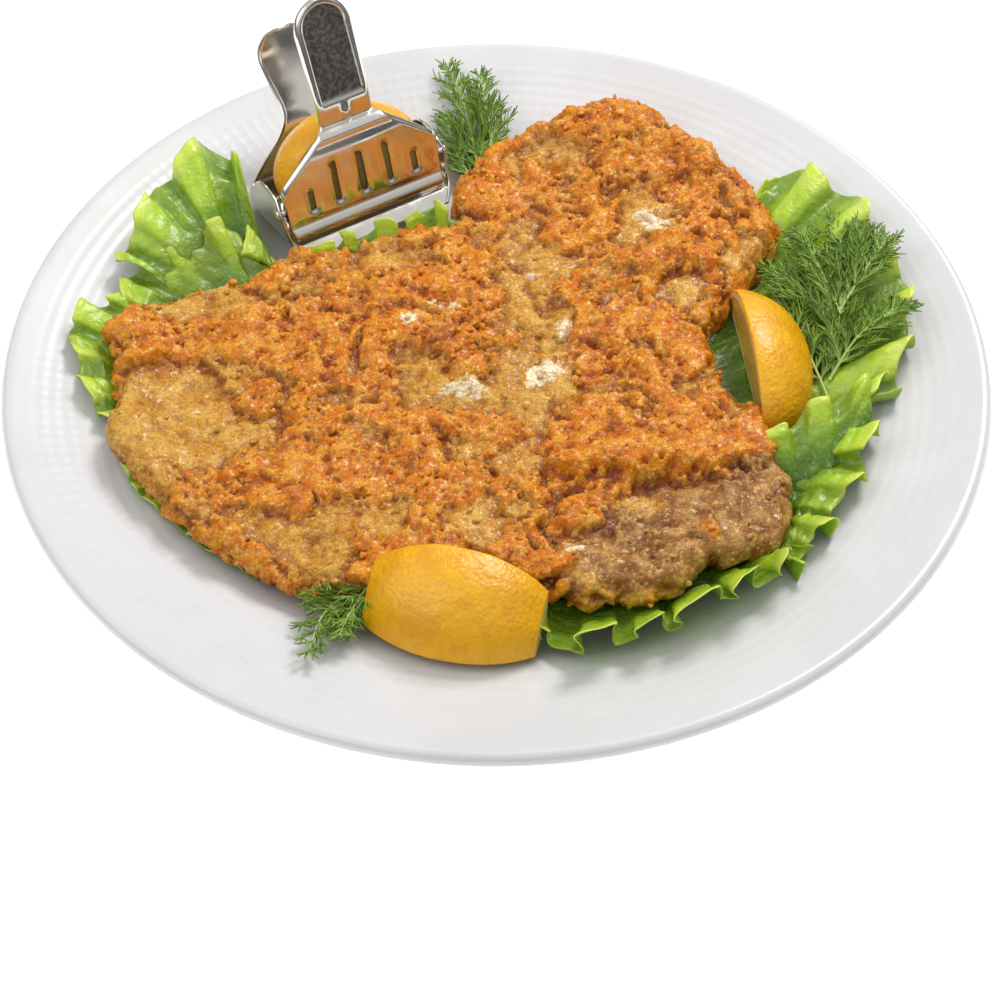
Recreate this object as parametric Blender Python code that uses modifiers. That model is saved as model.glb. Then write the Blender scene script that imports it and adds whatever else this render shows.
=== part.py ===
"""A pan-fried schnitzel plated with salad leaves, dill, lemon wedges and a lemon squeezer.

Metres, +Z up. The origin is the centre of the plate's foot, on the table. +Y points to the far
side of the plate and +X to its right. Every piece is one closed solid in its own object.
"""

import math

import bmesh
import bpy
from mathutils import Matrix, Vector

MM = 0.001
WELD = 0.00002
CLEARANCE = 0.0003

# Plate
PLATE_RADIUS = 160 * MM
PLATE_HEIGHT = 23.5 * MM
WELL_RADIUS = 118 * MM
FLOOR_RADIUS = 100 * MM
FLOOR_TOP = 8 * MM
WELL_EDGE_TOP = 14 * MM
LIP_WIDTH = 4 * MM
FOOT_OUTER = 96 * MM
FOOT_INNER = 89 * MM
FOOT_RECESS = 3 * MM
PLATE_STEPS = 56

# Schnitzel
SCHNITZEL_CENTRE = (8 * MM, 0.0)
SCHNITZEL_REST_GAP = 0.6 * MM
SCHNITZEL_EDGE_LIFT = 5 * MM
SCHNITZEL_THICK_MIDDLE = 15 * MM
SCHNITZEL_THICK_EDGE = 9.5 * MM
SCHNITZEL_SEGMENTS = 84
SCHNITZEL_RINGS = 12
# Outline as (degrees from +X, millimetres from the schnitzel's centre)
SCHNITZEL_OUTLINE = (
    (-180, 131), (-173, 130), (-165, 135), (-158, 131), (-150, 127), (-142, 122),
    (-136, 117), (-128, 114), (-121, 107), (-112, 89), (-103, 84), (-92, 88),
    (-85, 93), (-78, 104), (-74, 99), (-69, 109), (-64, 114), (-56, 102),
    (-50, 106), (-44, 111), (-38, 105), (-32, 99), (-25, 88), (-18, 80),
    (-12, 71), (-5, 65), (4, 61), (14, 62), (19, 66), (24, 72),
    (28, 82), (32, 94), (36, 107), (44, 111), (50, 114), (58, 118),
    (64, 121), (70, 124), (75, 126), (80, 120), (86, 113), (93, 106),
    (99, 97), (103, 91), (105, 83), (108, 69), (112, 66), (118, 72),
    (125, 76), (135, 79), (143, 86), (148, 91), (153, 90), (158, 100),
    (163, 116), (169, 127), (175, 134),
)

# Lemon
LEMON_HALF_LENGTH = 33 * MM
LEMON_RADIUS = 26.5 * MM
LEMON_SEGMENTS = 32
LEMON_RINGS = 18
FRONT_WEDGE_PLACE = (-11 * MM, -95 * MM, 11.5 * MM)
FRONT_WEDGE_YAW = math.radians(-14)
FRONT_WEDGE_TILT = math.radians(11)
FRONT_WEDGE_OPENING = math.radians(84)
FRONT_WEDGE_ENDS = (-27 * MM, 27 * MM)
RIGHT_WEDGE_PLACE = (84 * MM, 1.8 * MM, 14.5 * MM)
RIGHT_WEDGE_YAW = math.radians(102)
RIGHT_WEDGE_TILT = math.radians(3)
RIGHT_WEDGE_OPENING = math.radians(88)
RIGHT_WEDGE_RADIUS = 22 * MM
RIGHT_WEDGE_CLEAR = 34 * MM
SQUEEZED_HALF_LENGTH = 27 * MM
SQUEEZED_RADIUS = 19 * MM
SQUEEZED_FLATTEN = 0.9
SQUEEZED_CENTRE = (0, -13.5 * MM, 8 * MM)
SQUEEZED_TURN = math.radians(27)
SQUEEZED_PRESS_GAP = 3 * MM
SQUEEZED_FLOOR = 1 * MM
SQUEEZED_BACK = 19 * MM
SQUEEZED_BACK_LEAN = math.radians(37)

# Lemon squeezer: two stamped sheets, the front one turning on two rivets
SHEET = 0.8 * MM
SQUEEZER_FOOT = (-44.0 * MM, 74.7 * MM, 25 * MM)
SQUEEZER_YAW = math.radians(31)
PRESS_LEAN = math.radians(18)
TAB_LEAN = math.radians(24.5)
PRESS_HALF_WIDTH = 29.3 * MM
PRESS_SIDE_HEIGHT = 14 * MM
PRESS_HEIGHT = 28 * MM
SHOULDER_HALF_WIDTH = 13 * MM
SHOULDER_DEPTH = 3.5 * MM
TAB_HALF_WIDTH = 9.6 * MM
TAB_LENGTH = 41.5 * MM
TAB_RIM = 1.4 * MM
HEM_DROP = 3.7 * MM
HEM_FRONT = 1.3 * MM
WALL_HALF_WIDTH = 31 * MM
PIVOT_BACK = 4.2 * MM
PIVOT_UP = 4.6 * MM
RIVET_RADIUS = 1.2 * MM
RIVET_HOLE_RADIUS = 1.5 * MM
RIVET_HEAD_RADIUS = 2.1 * MM
RIVET_HEAD = 0.7 * MM
RIVET_STEPS = 14
SLOT_HALF_WIDTH = 1.0 * MM
SLOT_PITCH = 9.9 * MM
LONG_SLOT = 14.5 * MM
SHORT_SLOT = 7.2 * MM
SLOT_LOW = 4 * MM

# Greens
LEAF_GAP = 1.0 * MM
LEAF_UNDER_FOOD = 3.0 * MM
LEAF_SEGMENTS = 24
LEAF_RINGS = 7

COLOURS = {
    "porcelain": ((0.86, 0.86, 0.84), 0.22, 0.0),
    "crust": ((0.62, 0.27, 0.06), 0.42, 0.0),
    "lettuce": ((0.24, 0.48, 0.06), 0.45, 0.0),
    "dill": ((0.07, 0.20, 0.05), 0.60, 0.0),
    "lemon": ((0.93, 0.60, 0.03), 0.35, 0.0),
    "steel": ((0.72, 0.72, 0.70), 0.22, 1.0),
}


def clear_scene():
    """Remove every object, so that the model starts from nothing."""
    for obj in list(bpy.data.objects):
        bpy.data.objects.remove(obj, do_unlink=True)


def make_collection(name):
    """Return a new collection linked to the scene."""
    collection = bpy.data.collections.new(name)
    bpy.context.scene.collection.children.link(collection)
    return collection


def make_material(name):
    """Return a Principled material with the colour, roughness and metallic value of COLOURS."""
    colour, roughness, metallic = COLOURS[name]
    material = bpy.data.materials.new(name)
    material.use_nodes = True
    shader = material.node_tree.nodes["Principled BSDF"]
    shader.inputs["Base Color"].default_value = (*colour, 1.0)
    shader.inputs["Roughness"].default_value = roughness
    shader.inputs["Metallic"].default_value = metallic
    return material


def add_object(name, mesh, material, collection):
    """Link a mesh to the collection as a named object with one material."""
    obj = bpy.data.objects.new(name, mesh)
    collection.objects.link(obj)
    if material:
        mesh.materials.append(material)
    for polygon in mesh.polygons:
        polygon.use_smooth = True
    mesh.set_sharp_from_angle(angle=math.radians(35))
    return obj


def mesh_from(bm, name):
    """Turn a bmesh into a mesh with its faces pointing out, and free the bmesh."""
    bmesh.ops.recalc_face_normals(bm, faces=bm.faces)
    mesh = bpy.data.meshes.new(name)
    bm.to_mesh(mesh)
    bm.free()
    return mesh


def smoothstep(low, high, value):
    """Return 0 below low, 1 above high and a smooth rise between them."""
    t = min(max((value - low) / (high - low), 0.0), 1.0)
    return t * t * (3 - 2 * t)


def interpolate(points, value):
    """Return the straight-line value at one place of a rising list of (place, value) pairs."""
    for (x0, y0), (x1, y1) in zip(points, points[1:]):
        if value <= x1:
            return y0 + (y1 - y0) * max(value - x0, 0.0) / (x1 - x0)
    return points[-1][1]


# Plate ---------------------------------------------------------------------------------------

PLATE_TOP = (
    (0.0, FLOOR_TOP),
    (FLOOR_RADIUS, FLOOR_TOP),
    (106 * MM, 8.8 * MM),
    (112 * MM, 11.2 * MM),
    (WELL_RADIUS, WELL_EDGE_TOP),
    (124 * MM, 15.6 * MM),
    (140 * MM, 19.0 * MM),
    (PLATE_RADIUS - LIP_WIDTH, PLATE_HEIGHT - 0.3 * MM),
)
PLATE_LIP = (
    (PLATE_RADIUS - 2.6 * MM, PLATE_HEIGHT),
    (PLATE_RADIUS - 0.8 * MM, PLATE_HEIGHT - 0.7 * MM),
    (PLATE_RADIUS, PLATE_HEIGHT - 2.2 * MM),
    (PLATE_RADIUS - 0.9 * MM, PLATE_HEIGHT - 3.9 * MM),
    (PLATE_RADIUS - 3.2 * MM, PLATE_HEIGHT - 4.7 * MM),
)
PLATE_UNDERSIDE = (
    (140 * MM, 14.2 * MM),
    (120 * MM, 9.2 * MM),
    (106 * MM, 3.9 * MM),
    (FOOT_OUTER + 1.5 * MM, 2.2 * MM),
    (FOOT_OUTER, 0.0),
    (FOOT_INNER, 0.0),
    (FOOT_INNER - 1.5 * MM, FOOT_RECESS),
    (0.0, FOOT_RECESS),
)


def plate_top(x, y):
    """Return the height of the plate's upper face at a place."""
    return interpolate(PLATE_TOP, math.hypot(x, y))


def build_plate(material, collection):
    """Turn the plate's profile, from the middle of its face over the lip to its underside."""
    profile = PLATE_TOP + PLATE_LIP + PLATE_UNDERSIDE
    bm = bmesh.new()
    verts = [bm.verts.new((radius, 0.0, height)) for radius, height in profile]
    for start, end in zip(verts, verts[1:]):
        bm.edges.new((start, end))
    mesh = bpy.data.meshes.new("plate")
    bm.to_mesh(mesh)
    bm.free()
    plate = add_object("plate", mesh, material, collection)
    screw = plate.modifiers.new("turn", "SCREW")
    screw.steps = PLATE_STEPS
    screw.render_steps = PLATE_STEPS
    screw.use_merge_vertices = True
    screw.merge_threshold = WELD
    return plate


# Flat food: a sphere pressed between a lower and an upper surface ------------------------------


def pressed_mesh(name, centre, radius_at, lower, upper, segments, rings):
    """Press a sphere into a slab.

    radius_at gives the outline's radius at an angle, and lower and upper the faces' heights at
    a place. The slab is full in the middle and comes together at its rim.
    """
    bm = bmesh.new()
    bmesh.ops.create_uvsphere(bm, u_segments=segments, v_segments=rings, radius=1.0)
    for vert in bm.verts:
        share = math.hypot(vert.co.x, vert.co.y)
        angle = math.atan2(vert.co.y, vert.co.x)
        reach = radius_at(angle) * min(share, 1.0)
        x = centre[0] + reach * math.cos(angle)
        y = centre[1] + reach * math.sin(angle)
        bottom, top = lower(x, y), upper(x, y)
        bulge = math.sqrt(max(1.0 - share**4, 0.0)) * (1 if vert.co.z > 0 else -1)
        vert.co = (x, y, (bottom + top) / 2 + bulge * (top - bottom) / 2)
    return mesh_from(bm, name)


def outline_radius(angle):
    """Return the schnitzel's outline radius at an angle, smooth between the named points."""
    degrees = math.degrees(angle)
    closed = SCHNITZEL_OUTLINE + ((180, SCHNITZEL_OUTLINE[0][1]),)
    for (a0, r0), (a1, r1) in zip(closed, closed[1:]):
        if degrees <= a1:
            return (r0 + (r1 - r0) * smoothstep(a0, a1, degrees)) * MM
    return closed[-1][1] * MM


def schnitzel_reach(x, y):
    """Return how far outside the schnitzel's outline a place lies, negative inside."""
    dx, dy = x - SCHNITZEL_CENTRE[0], y - SCHNITZEL_CENTRE[1]
    return math.hypot(dx, dy) - outline_radius(math.atan2(dy, dx))


def schnitzel_bottom(x, y):
    """Return the schnitzel's underside: on the plate in the middle, raised on leaves outside."""
    out = smoothstep(40 * MM, 90 * MM, math.hypot(x, y))
    return plate_top(x, y) + SCHNITZEL_REST_GAP + (SCHNITZEL_EDGE_LIFT - SCHNITZEL_REST_GAP) * out


def schnitzel_top(x, y):
    """Return the schnitzel's face: thick meat in the middle, thinner outside, softly uneven."""
    out = smoothstep(20 * MM, 105 * MM, math.hypot(x, y))
    thick = SCHNITZEL_THICK_MIDDLE + (SCHNITZEL_THICK_EDGE - SCHNITZEL_THICK_MIDDLE) * out
    waves = math.sin(x * 95 + 1.3) * math.cos(y * 110 + 0.4) + 0.6 * math.sin(x * 210 - y * 160)
    return schnitzel_bottom(x, y) + thick + 0.7 * MM * waves


def build_schnitzel(material, collection):
    """Build the fried cutlet as one slab."""
    mesh = pressed_mesh(
        "schnitzel", SCHNITZEL_CENTRE, outline_radius, schnitzel_bottom, schnitzel_top,
        SCHNITZEL_SEGMENTS, SCHNITZEL_RINGS,
    )
    return add_object("schnitzel", mesh, material, collection)


# Greens --------------------------------------------------------------------------------------

# name: centre x, y, half length, half width, degrees, height above the plate, ruffles, depth
LEAVES = {
    "lettuce_back_left": (-104, 59, 30, 18, 60, 13, 7, 0.07),
    "lettuce_left": (-129, 4, 27, 9, 92, 7, 9, 0.10),
    "lettuce_front_left": (-95, -62, 31, 8, -44, 4, 9, 0.08),
    "lettuce_middle": (-41, 59, 15, 5.5, 22, 7, 7, 0.10),
    "lettuce_right": (108, 33, 52, 27, 84, 7, 11, 0.07),
    "lettuce_front_right": (101, -51, 31, 17, 70, 10, 9, 0.10),
    "lettuce_front": (54, -99, 41, 12, 14, 11, 13, 0.10),
}

# name: centre x, y, half length, half width, degrees, lower and upper height above the plate
SPRIGS = {
    "dill_back": (-9, 125, 30, 9, 103, 1.0, 9.0),
    "dill_right": (121, 24, 42, 12.5, 80, 8.0, 18.0),
    "dill_front": (-53, -106, 14, 7, 50, 1.0, 8.0),
}



def ellipse_radius(half_length, half_width, turn, ruffles=0, depth=0.0):
    """Return a function from angle to radius for a turned ellipse with a ruffled edge."""

    def radius_at(angle):
        local = angle - turn
        spread = math.hypot(math.cos(local) / half_length, math.sin(local) / half_width)
        return (1 + depth * math.sin(ruffles * angle)) / spread

    return radius_at


def build_leaf(name, material, collection):
    """Build one salad leaf: thin where food lies on it, and raised where it is free."""
    cx, cy, length, width, degrees, height, ruffles, depth = LEAVES[name]
    radius_at = ellipse_radius(length * MM, width * MM, math.radians(degrees), ruffles, depth)

    def lower(x, y):
        return plate_top(x, y) + LEAF_GAP

    def upper(x, y):
        free = smoothstep(2 * MM, 9 * MM, schnitzel_reach(x, y))
        away = math.hypot(x - RIGHT_WEDGE_PLACE[0], y - RIGHT_WEDGE_PLACE[1])
        free *= smoothstep(RIGHT_WEDGE_CLEAR, RIGHT_WEDGE_CLEAR + 8 * MM, away)
        return plate_top(x, y) + LEAF_UNDER_FOOD + (height * MM - LEAF_UNDER_FOOD) * free

    mesh = pressed_mesh(
        name, (cx * MM, cy * MM), radius_at, lower, upper, LEAF_SEGMENTS, LEAF_RINGS
    )
    return add_object(name, mesh, material, collection)


def build_sprig(name, material, collection):
    """Build the space that one dill sprig fills as a thin closed solid."""
    cx, cy, length, width, degrees, low, high = SPRIGS[name]
    radius_at = ellipse_radius(length * MM, width * MM, math.radians(degrees))
    mesh = pressed_mesh(
        name,
        (cx * MM, cy * MM),
        radius_at,
        lambda x, y: plate_top(x, y) + low * MM,
        lambda x, y: plate_top(x, y) + high * MM,
        LEAF_SEGMENTS,
        LEAF_RINGS,
    )
    return add_object(name, mesh, material, collection)


# Lemon ---------------------------------------------------------------------------------------


def slice_off(bm, point, outward):
    """Cut a closed bmesh by a plane, drop what lies outward and close the cut."""
    geometry = bm.verts[:] + bm.edges[:] + bm.faces[:]
    bmesh.ops.bisect_plane(
        bm, geom=geometry, plane_co=point, plane_no=outward, clear_outer=True, dist=1e-7
    )
    rim = [edge for edge in bm.edges if edge.is_boundary]
    bmesh.ops.edgeloop_fill(bm, edges=rim)


def whole_lemon(half_length, radius):
    """Return a bmesh of a whole lemon along X."""
    bm = bmesh.new()
    bmesh.ops.create_uvsphere(bm, u_segments=LEMON_SEGMENTS, v_segments=LEMON_RINGS, radius=1.0)
    bmesh.ops.rotate(bm, verts=bm.verts, matrix=Matrix.Rotation(math.pi / 2, 3, "Y"))
    bmesh.ops.scale(bm, verts=bm.verts, vec=(half_length, radius, radius))
    return bm


def build_wedge(name, place, yaw, tilt, opening, ends, radius, material, collection):
    """Build a lemon wedge lying on one cut face, with its core edge along X before it is turned.

    opening is the angle between its two cut faces, ends are the places along X where its tips
    are trimmed, and tilt raises its peel side about the core edge.
    """
    bm = whole_lemon(LEMON_HALF_LENGTH, radius)
    slice_off(bm, (0, 0, 0), (0, 0, -1))
    slice_off(bm, (0, 0, 0), (0, math.sin(opening), math.cos(opening)))
    for end in ends:
        slice_off(bm, (end, 0, 0), (math.copysign(1, end), 0, 0))
    turn = Matrix.Rotation(yaw, 4, "Z") @ Matrix.Rotation(-tilt, 4, "X")
    bmesh.ops.transform(bm, matrix=Matrix.Translation(place) @ turn, verts=bm.verts)
    return add_object(name, mesh_from(bm, name), material, collection)


# Lemon squeezer ------------------------------------------------------------------------------


def squeezer_frame():
    """Return the squeezer's own frame: X along its hinge, Y to its front, Z up."""
    along = Vector((math.cos(SQUEEZER_YAW), math.sin(SQUEEZER_YAW), 0))
    front = Vector((math.sin(SQUEEZER_YAW), -math.cos(SQUEEZER_YAW), 0))
    columns = Matrix((along, front, Vector((0, 0, 1)))).transposed().to_4x4()
    return Matrix.Translation(SQUEEZER_FOOT) @ columns


def press_point(height):
    """Return (front, up) of the press plate's middle at a distance up the plate."""
    return (-height * math.sin(PRESS_LEAN), height * math.cos(PRESS_LEAN))


def tab_end(base, lean, length):
    """Return (front, up) of a point a length up a leaning line from its base."""
    return (base[0] - length * math.sin(lean), base[1] + length * math.cos(lean))


def press_sections():
    """Return the front sheet's sections from its bottom edge to the tip of its tab.

    Each is (front, up, half width, turned-back rim).
    """
    sections = [
        (HEM_FRONT, -HEM_DROP, 28.0 * MM, 0.4 * MM),
        (HEM_FRONT / 2, -HEM_DROP / 2, 28.6 * MM, 0.6 * MM),
    ]
    for height, half, rim in (
        (0.0, PRESS_HALF_WIDTH / MM, 2.0),
        (2.2, PRESS_HALF_WIDTH / MM, 6.0),
        (5.4, PRESS_HALF_WIDTH / MM, 7.0),
        (8.8, PRESS_HALF_WIDTH / MM, 5.0),
        (PRESS_SIDE_HEIGHT / MM, 29.0, 1.2),
        (19.0, 23.2, 1.2),
        (PRESS_HEIGHT / MM - 1.0, SHOULDER_HALF_WIDTH / MM, 1.2),
    ):
        sections.append((*press_point(height * MM), half * MM, rim * MM))
    top = press_point(PRESS_HEIGHT)
    ledge = (top[0] - SHOULDER_DEPTH, top[1] + 0.4 * MM)
    sections.append((top[0] - 1.2 * MM, top[1], 11.5 * MM, 1.2 * MM))
    sections.append((*ledge, TAB_HALF_WIDTH, 1.2 * MM))
    base = (ledge[0] - 0.4 * MM, ledge[1] + 1.0 * MM)
    for step in range(5):
        point = tab_end(base, TAB_LEAN, TAB_LENGTH * 0.74 * step / 4)
        sections.append((*point, TAB_HALF_WIDTH + 0.15 * MM * step, TAB_RIM))
    rounding = TAB_HALF_WIDTH + 0.6 * MM
    for step in range(1, 6):
        angle = math.radians(16 * step)
        height = TAB_LENGTH * 0.74 + TAB_LENGTH * 0.26 * math.sin(angle)
        point = tab_end(base, TAB_LEAN, height)
        sections.append((*point, max(rounding * math.cos(angle), 1.6 * MM), TAB_RIM))
    return sections


def tray_sections():
    """Return the rear sheet's sections from its pouring lip, under the press, up to its tab.

    Each is (front, up, half width, rim front, rim up), the last two being the side wall's edge
    seen from the section's own point.
    """
    wall = WALL_HALF_WIDTH / MM
    rows = (
        (8.5, -7.6, 26.5, 0.0, 0.6),
        (6.0, -6.4, 28.5, -0.3, 0.9),
        (3.6, -5.6, 30.2, -0.6, 2.0),
        (1.2, -5.8, wall, -0.8, 6.5),
        (-2.0, -6.3, wall, -0.5, 12.5),
        (-7.0, -6.9, wall, 0.0, 16.0),
        (-13.0, -7.7, wall, 0.5, 17.5),
        (-19.0, -8.7, wall, 1.5, 17.5),
        (-24.0, -9.5, wall, 2.5, 15.5),
        (-26.3, -9.2, wall, 3.2, 12.0),
        (-27.6, -6.6, wall, 3.4, 8.5),
        (-29.4, -1.0, 29.0, 3.0, 3.6),
        (-32.0, 3.6, 23.0, 2.0, 1.6),
        (-35.0, 7.6, 16.0, 1.5, 1.2),
        (-38.5, 11.3, 11.4, 1.2, 1.1),
        (-42.5, 14.0, 10.0, 1.2, 1.1),
        (-46.5, 17.0, 10.2, 1.2, 1.1),
        (-50.5, 21.2, 10.7, 1.2, 1.1),
        (-54.0, 26.4, 11.2, 1.2, 1.2),
        (-56.2, 31.0, 10.2, 1.2, 1.2),
        (-57.4, 33.8, 7.6, 1.1, 1.3),
        (-58.0, 35.2, 3.4, 1.0, 1.3),
    )
    return [tuple(value * MM for value in row) for row in rows]


def sheet_mesh(name, rows, columns, place):
    """Return an open sheet: a grid whose vertices place() puts at each row and column."""
    bm = bmesh.new()
    bmesh.ops.create_grid(bm, x_segments=columns - 1, y_segments=rows - 1, size=1.0)
    for vert in bm.verts:
        column = round((vert.co.x + 1) / 2 * (columns - 1))
        row = round((vert.co.y + 1) / 2 * (rows - 1))
        vert.co = place(row, column)
    return mesh_from(bm, name)


def thicken(obj, offset):
    """Give an open sheet its thickness."""
    solidify = obj.modifiers.new("sheet", "SOLIDIFY")
    solidify.thickness = SHEET
    solidify.offset = offset
    solidify.use_even_offset = True
    solidify.use_quality_normals = True


def cylinder_cutter(name, centre, axis, radius, length, frame, collection):
    """Make a hidden round cutter in the squeezer's frame."""
    bm = bmesh.new()
    bmesh.ops.create_cone(
        bm, cap_ends=True, segments=16, radius1=radius, radius2=radius, depth=length
    )
    turn = Vector((0, 0, 1)).rotation_difference(Vector(axis)).to_matrix().to_4x4()
    bmesh.ops.transform(bm, matrix=frame @ Matrix.Translation(centre) @ turn, verts=bm.verts)
    cutter = add_object(name, mesh_from(bm, name), None, collection)
    cutter.hide_render = True
    cutter.display_type = "WIRE"
    return cutter


def slot_cutter(name, along, low, length, frame, collection):
    """Make a hidden cutter for one round-ended slot in the press plate."""
    bm = bmesh.new()
    bmesh.ops.create_cone(
        bm, cap_ends=True, segments=16, radius1=SLOT_HALF_WIDTH, radius2=SLOT_HALF_WIDTH,
        depth=8 * MM,
    )
    straight = length / 2 - SLOT_HALF_WIDTH
    for vert in bm.verts:
        vert.co.x += math.copysign(straight, vert.co.x) if abs(vert.co.x) > 1e-6 else 0.0
    front, up = press_point(low + length / 2)
    upright = Matrix.Rotation(math.pi / 2, 4, "Z")
    face = Matrix.Rotation(math.pi / 2 + PRESS_LEAN, 4, "X")
    place = frame @ Matrix.Translation((along, front, up)) @ face @ upright
    bmesh.ops.transform(bm, matrix=place, verts=bm.verts)
    cutter = add_object(name, mesh_from(bm, name), None, collection)
    cutter.hide_render = True
    cutter.display_type = "WIRE"
    return cutter


def cut(obj, cutters):
    """Cut every cutter out of an object."""
    for cutter in cutters:
        boolean = obj.modifiers.new(cutter.name, "BOOLEAN")
        boolean.operation = "DIFFERENCE"
        boolean.object = cutter


def pivot_holes(prefix, frame, cutter_collection):
    """Return a cutter for the rivet hole at each side."""
    cutters = []
    for side in (-1, 1):
        centre = (side * WALL_HALF_WIDTH, -PIVOT_BACK, PIVOT_UP)
        cutters.append(
            cylinder_cutter(
                f"{prefix}_{side}", centre, (1, 0, 0), RIVET_HOLE_RADIUS, 8 * MM, frame,
                cutter_collection,
            )
        )
    return cutters


def build_press(frame, material, collection, cutter_collection):
    """Build the front sheet: a slotted press plate with side ears, a shoulder and a thumb tab."""
    sections = press_sections()
    across = (-1.0, -1.0, -0.94, -0.5, 0.0, 0.5, 0.94, 1.0, 1.0)

    def place(row, column):
        front, up, half, rim = sections[row]
        outer = column in (0, len(across) - 1)
        back = rim if outer else 0.0
        half_here = half if abs(across[column]) == 1.0 else half * abs(across[column])
        lift = -0.25 * back if row > 10 else 0.0
        x = math.copysign(half_here, across[column]) if across[column] else 0.0
        return frame @ Vector((x, front - back, up + lift))

    mesh = sheet_mesh("squeezer_press", len(sections), len(across), place)
    press = add_object("squeezer_press", mesh, material, collection)
    thicken(press, 0.0)
    lengths = (SHORT_SLOT, LONG_SLOT, LONG_SLOT, LONG_SLOT, SHORT_SLOT)
    cutters = []
    for index, length in enumerate(lengths):
        along = (index - 2) * SLOT_PITCH
        cutters.append(
            slot_cutter(f"slot_{index}", along, SLOT_LOW, length, frame, cutter_collection)
        )
    cutters += pivot_holes("press_hole", frame, cutter_collection)
    cut(press, cutters)
    return press


def build_tray(frame, material, collection, cutter_collection):
    """Build the rear sheet: a pouring tray with side walls, a back plate and a thumb tab."""
    sections = tray_sections()
    across = (-1.0, -1.0, -1.0, -0.5, 0.0, 0.5, 1.0, 1.0, 1.0)

    def place(row, column):
        front, up, half, rim_front, rim_up = sections[row]
        edge = min(column, len(across) - 1 - column)
        share = {0: 1.0, 1: 0.5}.get(edge, 0.0)
        x = half * across[column]
        return frame @ Vector((x, front + rim_front * share, up + rim_up * share))

    mesh = sheet_mesh("squeezer_tray", len(sections), len(across), place)
    tray = add_object("squeezer_tray", mesh, material, collection)
    thicken(tray, 0.0)
    cut(tray, pivot_holes("tray_hole", frame, cutter_collection))
    return tray


def build_rivet(name, side, frame, material, collection):
    """Turn one pivot rivet, whose heads hold a side wall and an ear of the press together."""
    inner = PRESS_HALF_WIDTH - SHEET / 2 - CLEARANCE
    outer = WALL_HALF_WIDTH + SHEET / 2 + CLEARANCE
    profile = (
        (0.0, outer + RIVET_HEAD),
        (RIVET_HEAD_RADIUS * 0.7, outer + RIVET_HEAD * 0.9),
        (RIVET_HEAD_RADIUS, outer + RIVET_HEAD * 0.35),
        (RIVET_HEAD_RADIUS, outer),
        (RIVET_RADIUS, outer),
        (RIVET_RADIUS, inner),
        (RIVET_HEAD_RADIUS, inner),
        (RIVET_HEAD_RADIUS, inner - RIVET_HEAD),
        (0.0, inner - RIVET_HEAD),
    )
    bm = bmesh.new()
    verts = [bm.verts.new((radius, 0.0, height)) for radius, height in profile]
    for start, end in zip(verts, verts[1:]):
        bm.edges.new((start, end))
    mesh = bpy.data.meshes.new(name)
    bm.to_mesh(mesh)
    bm.free()
    rivet = add_object(name, mesh, material, collection)
    screw = rivet.modifiers.new("turn", "SCREW")
    screw.steps = RIVET_STEPS
    screw.render_steps = RIVET_STEPS
    screw.use_merge_vertices = True
    screw.merge_threshold = WELD
    turn = Matrix.Rotation(side * math.pi / 2, 4, "Y")
    rivet.matrix_world = frame @ Matrix.Translation((0, -PIVOT_BACK, PIVOT_UP)) @ turn
    return rivet


def build_squeezed_lemon(frame, material, collection):
    """Build the lemon piece between the two sheets, flat against the press plate."""
    bm = whole_lemon(SQUEEZED_HALF_LENGTH, SQUEEZED_RADIUS)
    bmesh.ops.scale(bm, verts=bm.verts, vec=(1.0, SQUEEZED_FLATTEN, 1.0))
    place = Matrix.Translation(SQUEEZED_CENTRE) @ Matrix.Rotation(SQUEEZED_TURN, 4, "X")
    bmesh.ops.transform(bm, matrix=place, verts=bm.verts)
    press_face = Vector((0, math.cos(PRESS_LEAN), math.sin(PRESS_LEAN)))
    slice_off(bm, press_face * -SQUEEZED_PRESS_GAP, press_face)
    slice_off(bm, (0, 0, SQUEEZED_FLOOR), (0, 0, -1))
    back_face = Vector((0, -math.cos(SQUEEZED_BACK_LEAN), -math.sin(SQUEEZED_BACK_LEAN)))
    slice_off(bm, (0, -SQUEEZED_BACK, 0), back_face)
    bmesh.ops.transform(bm, matrix=frame, verts=bm.verts)
    return add_object("lemon_squeezed", mesh_from(bm, "lemon_squeezed"), material, collection)


def main():
    """Build the whole plate."""
    clear_scene()
    model = make_collection("plated_schnitzel")
    cutters = make_collection("cutters")
    materials = {name: make_material(name) for name in COLOURS}
    build_plate(materials["porcelain"], model)
    build_schnitzel(materials["crust"], model)
    for name in LEAVES:
        build_leaf(name, materials["lettuce"], model)
    for name in SPRIGS:
        build_sprig(name, materials["dill"], model)
    build_wedge(
        "lemon_front", FRONT_WEDGE_PLACE, FRONT_WEDGE_YAW, FRONT_WEDGE_TILT,
        FRONT_WEDGE_OPENING, FRONT_WEDGE_ENDS, LEMON_RADIUS, materials["lemon"], model,
    )
    build_wedge(
        "lemon_right", RIGHT_WEDGE_PLACE, RIGHT_WEDGE_YAW, RIGHT_WEDGE_TILT,
        RIGHT_WEDGE_OPENING, (), RIGHT_WEDGE_RADIUS, materials["lemon"], model,
    )
    frame = squeezer_frame()
    build_press(frame, materials["steel"], model, cutters)
    build_tray(frame, materials["steel"], model, cutters)
    build_rivet("rivet_left", -1, frame, materials["steel"], model)
    build_rivet("rivet_right", 1, frame, materials["steel"], model)
    build_squeezed_lemon(frame, materials["lemon"], model)


if __name__ == "__main__":
    main()
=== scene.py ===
"""A breaded cutlet on a round plate, with lemon wedges, a hinged lemon squeezer, lettuce and dill."""

import logging
import math
from dataclasses import dataclass, field
from enum import Enum
from functools import cache
from typing import Sequence

import bmesh
import bpy
import numpy as np
from mathutils import Matrix, Vector


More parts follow.
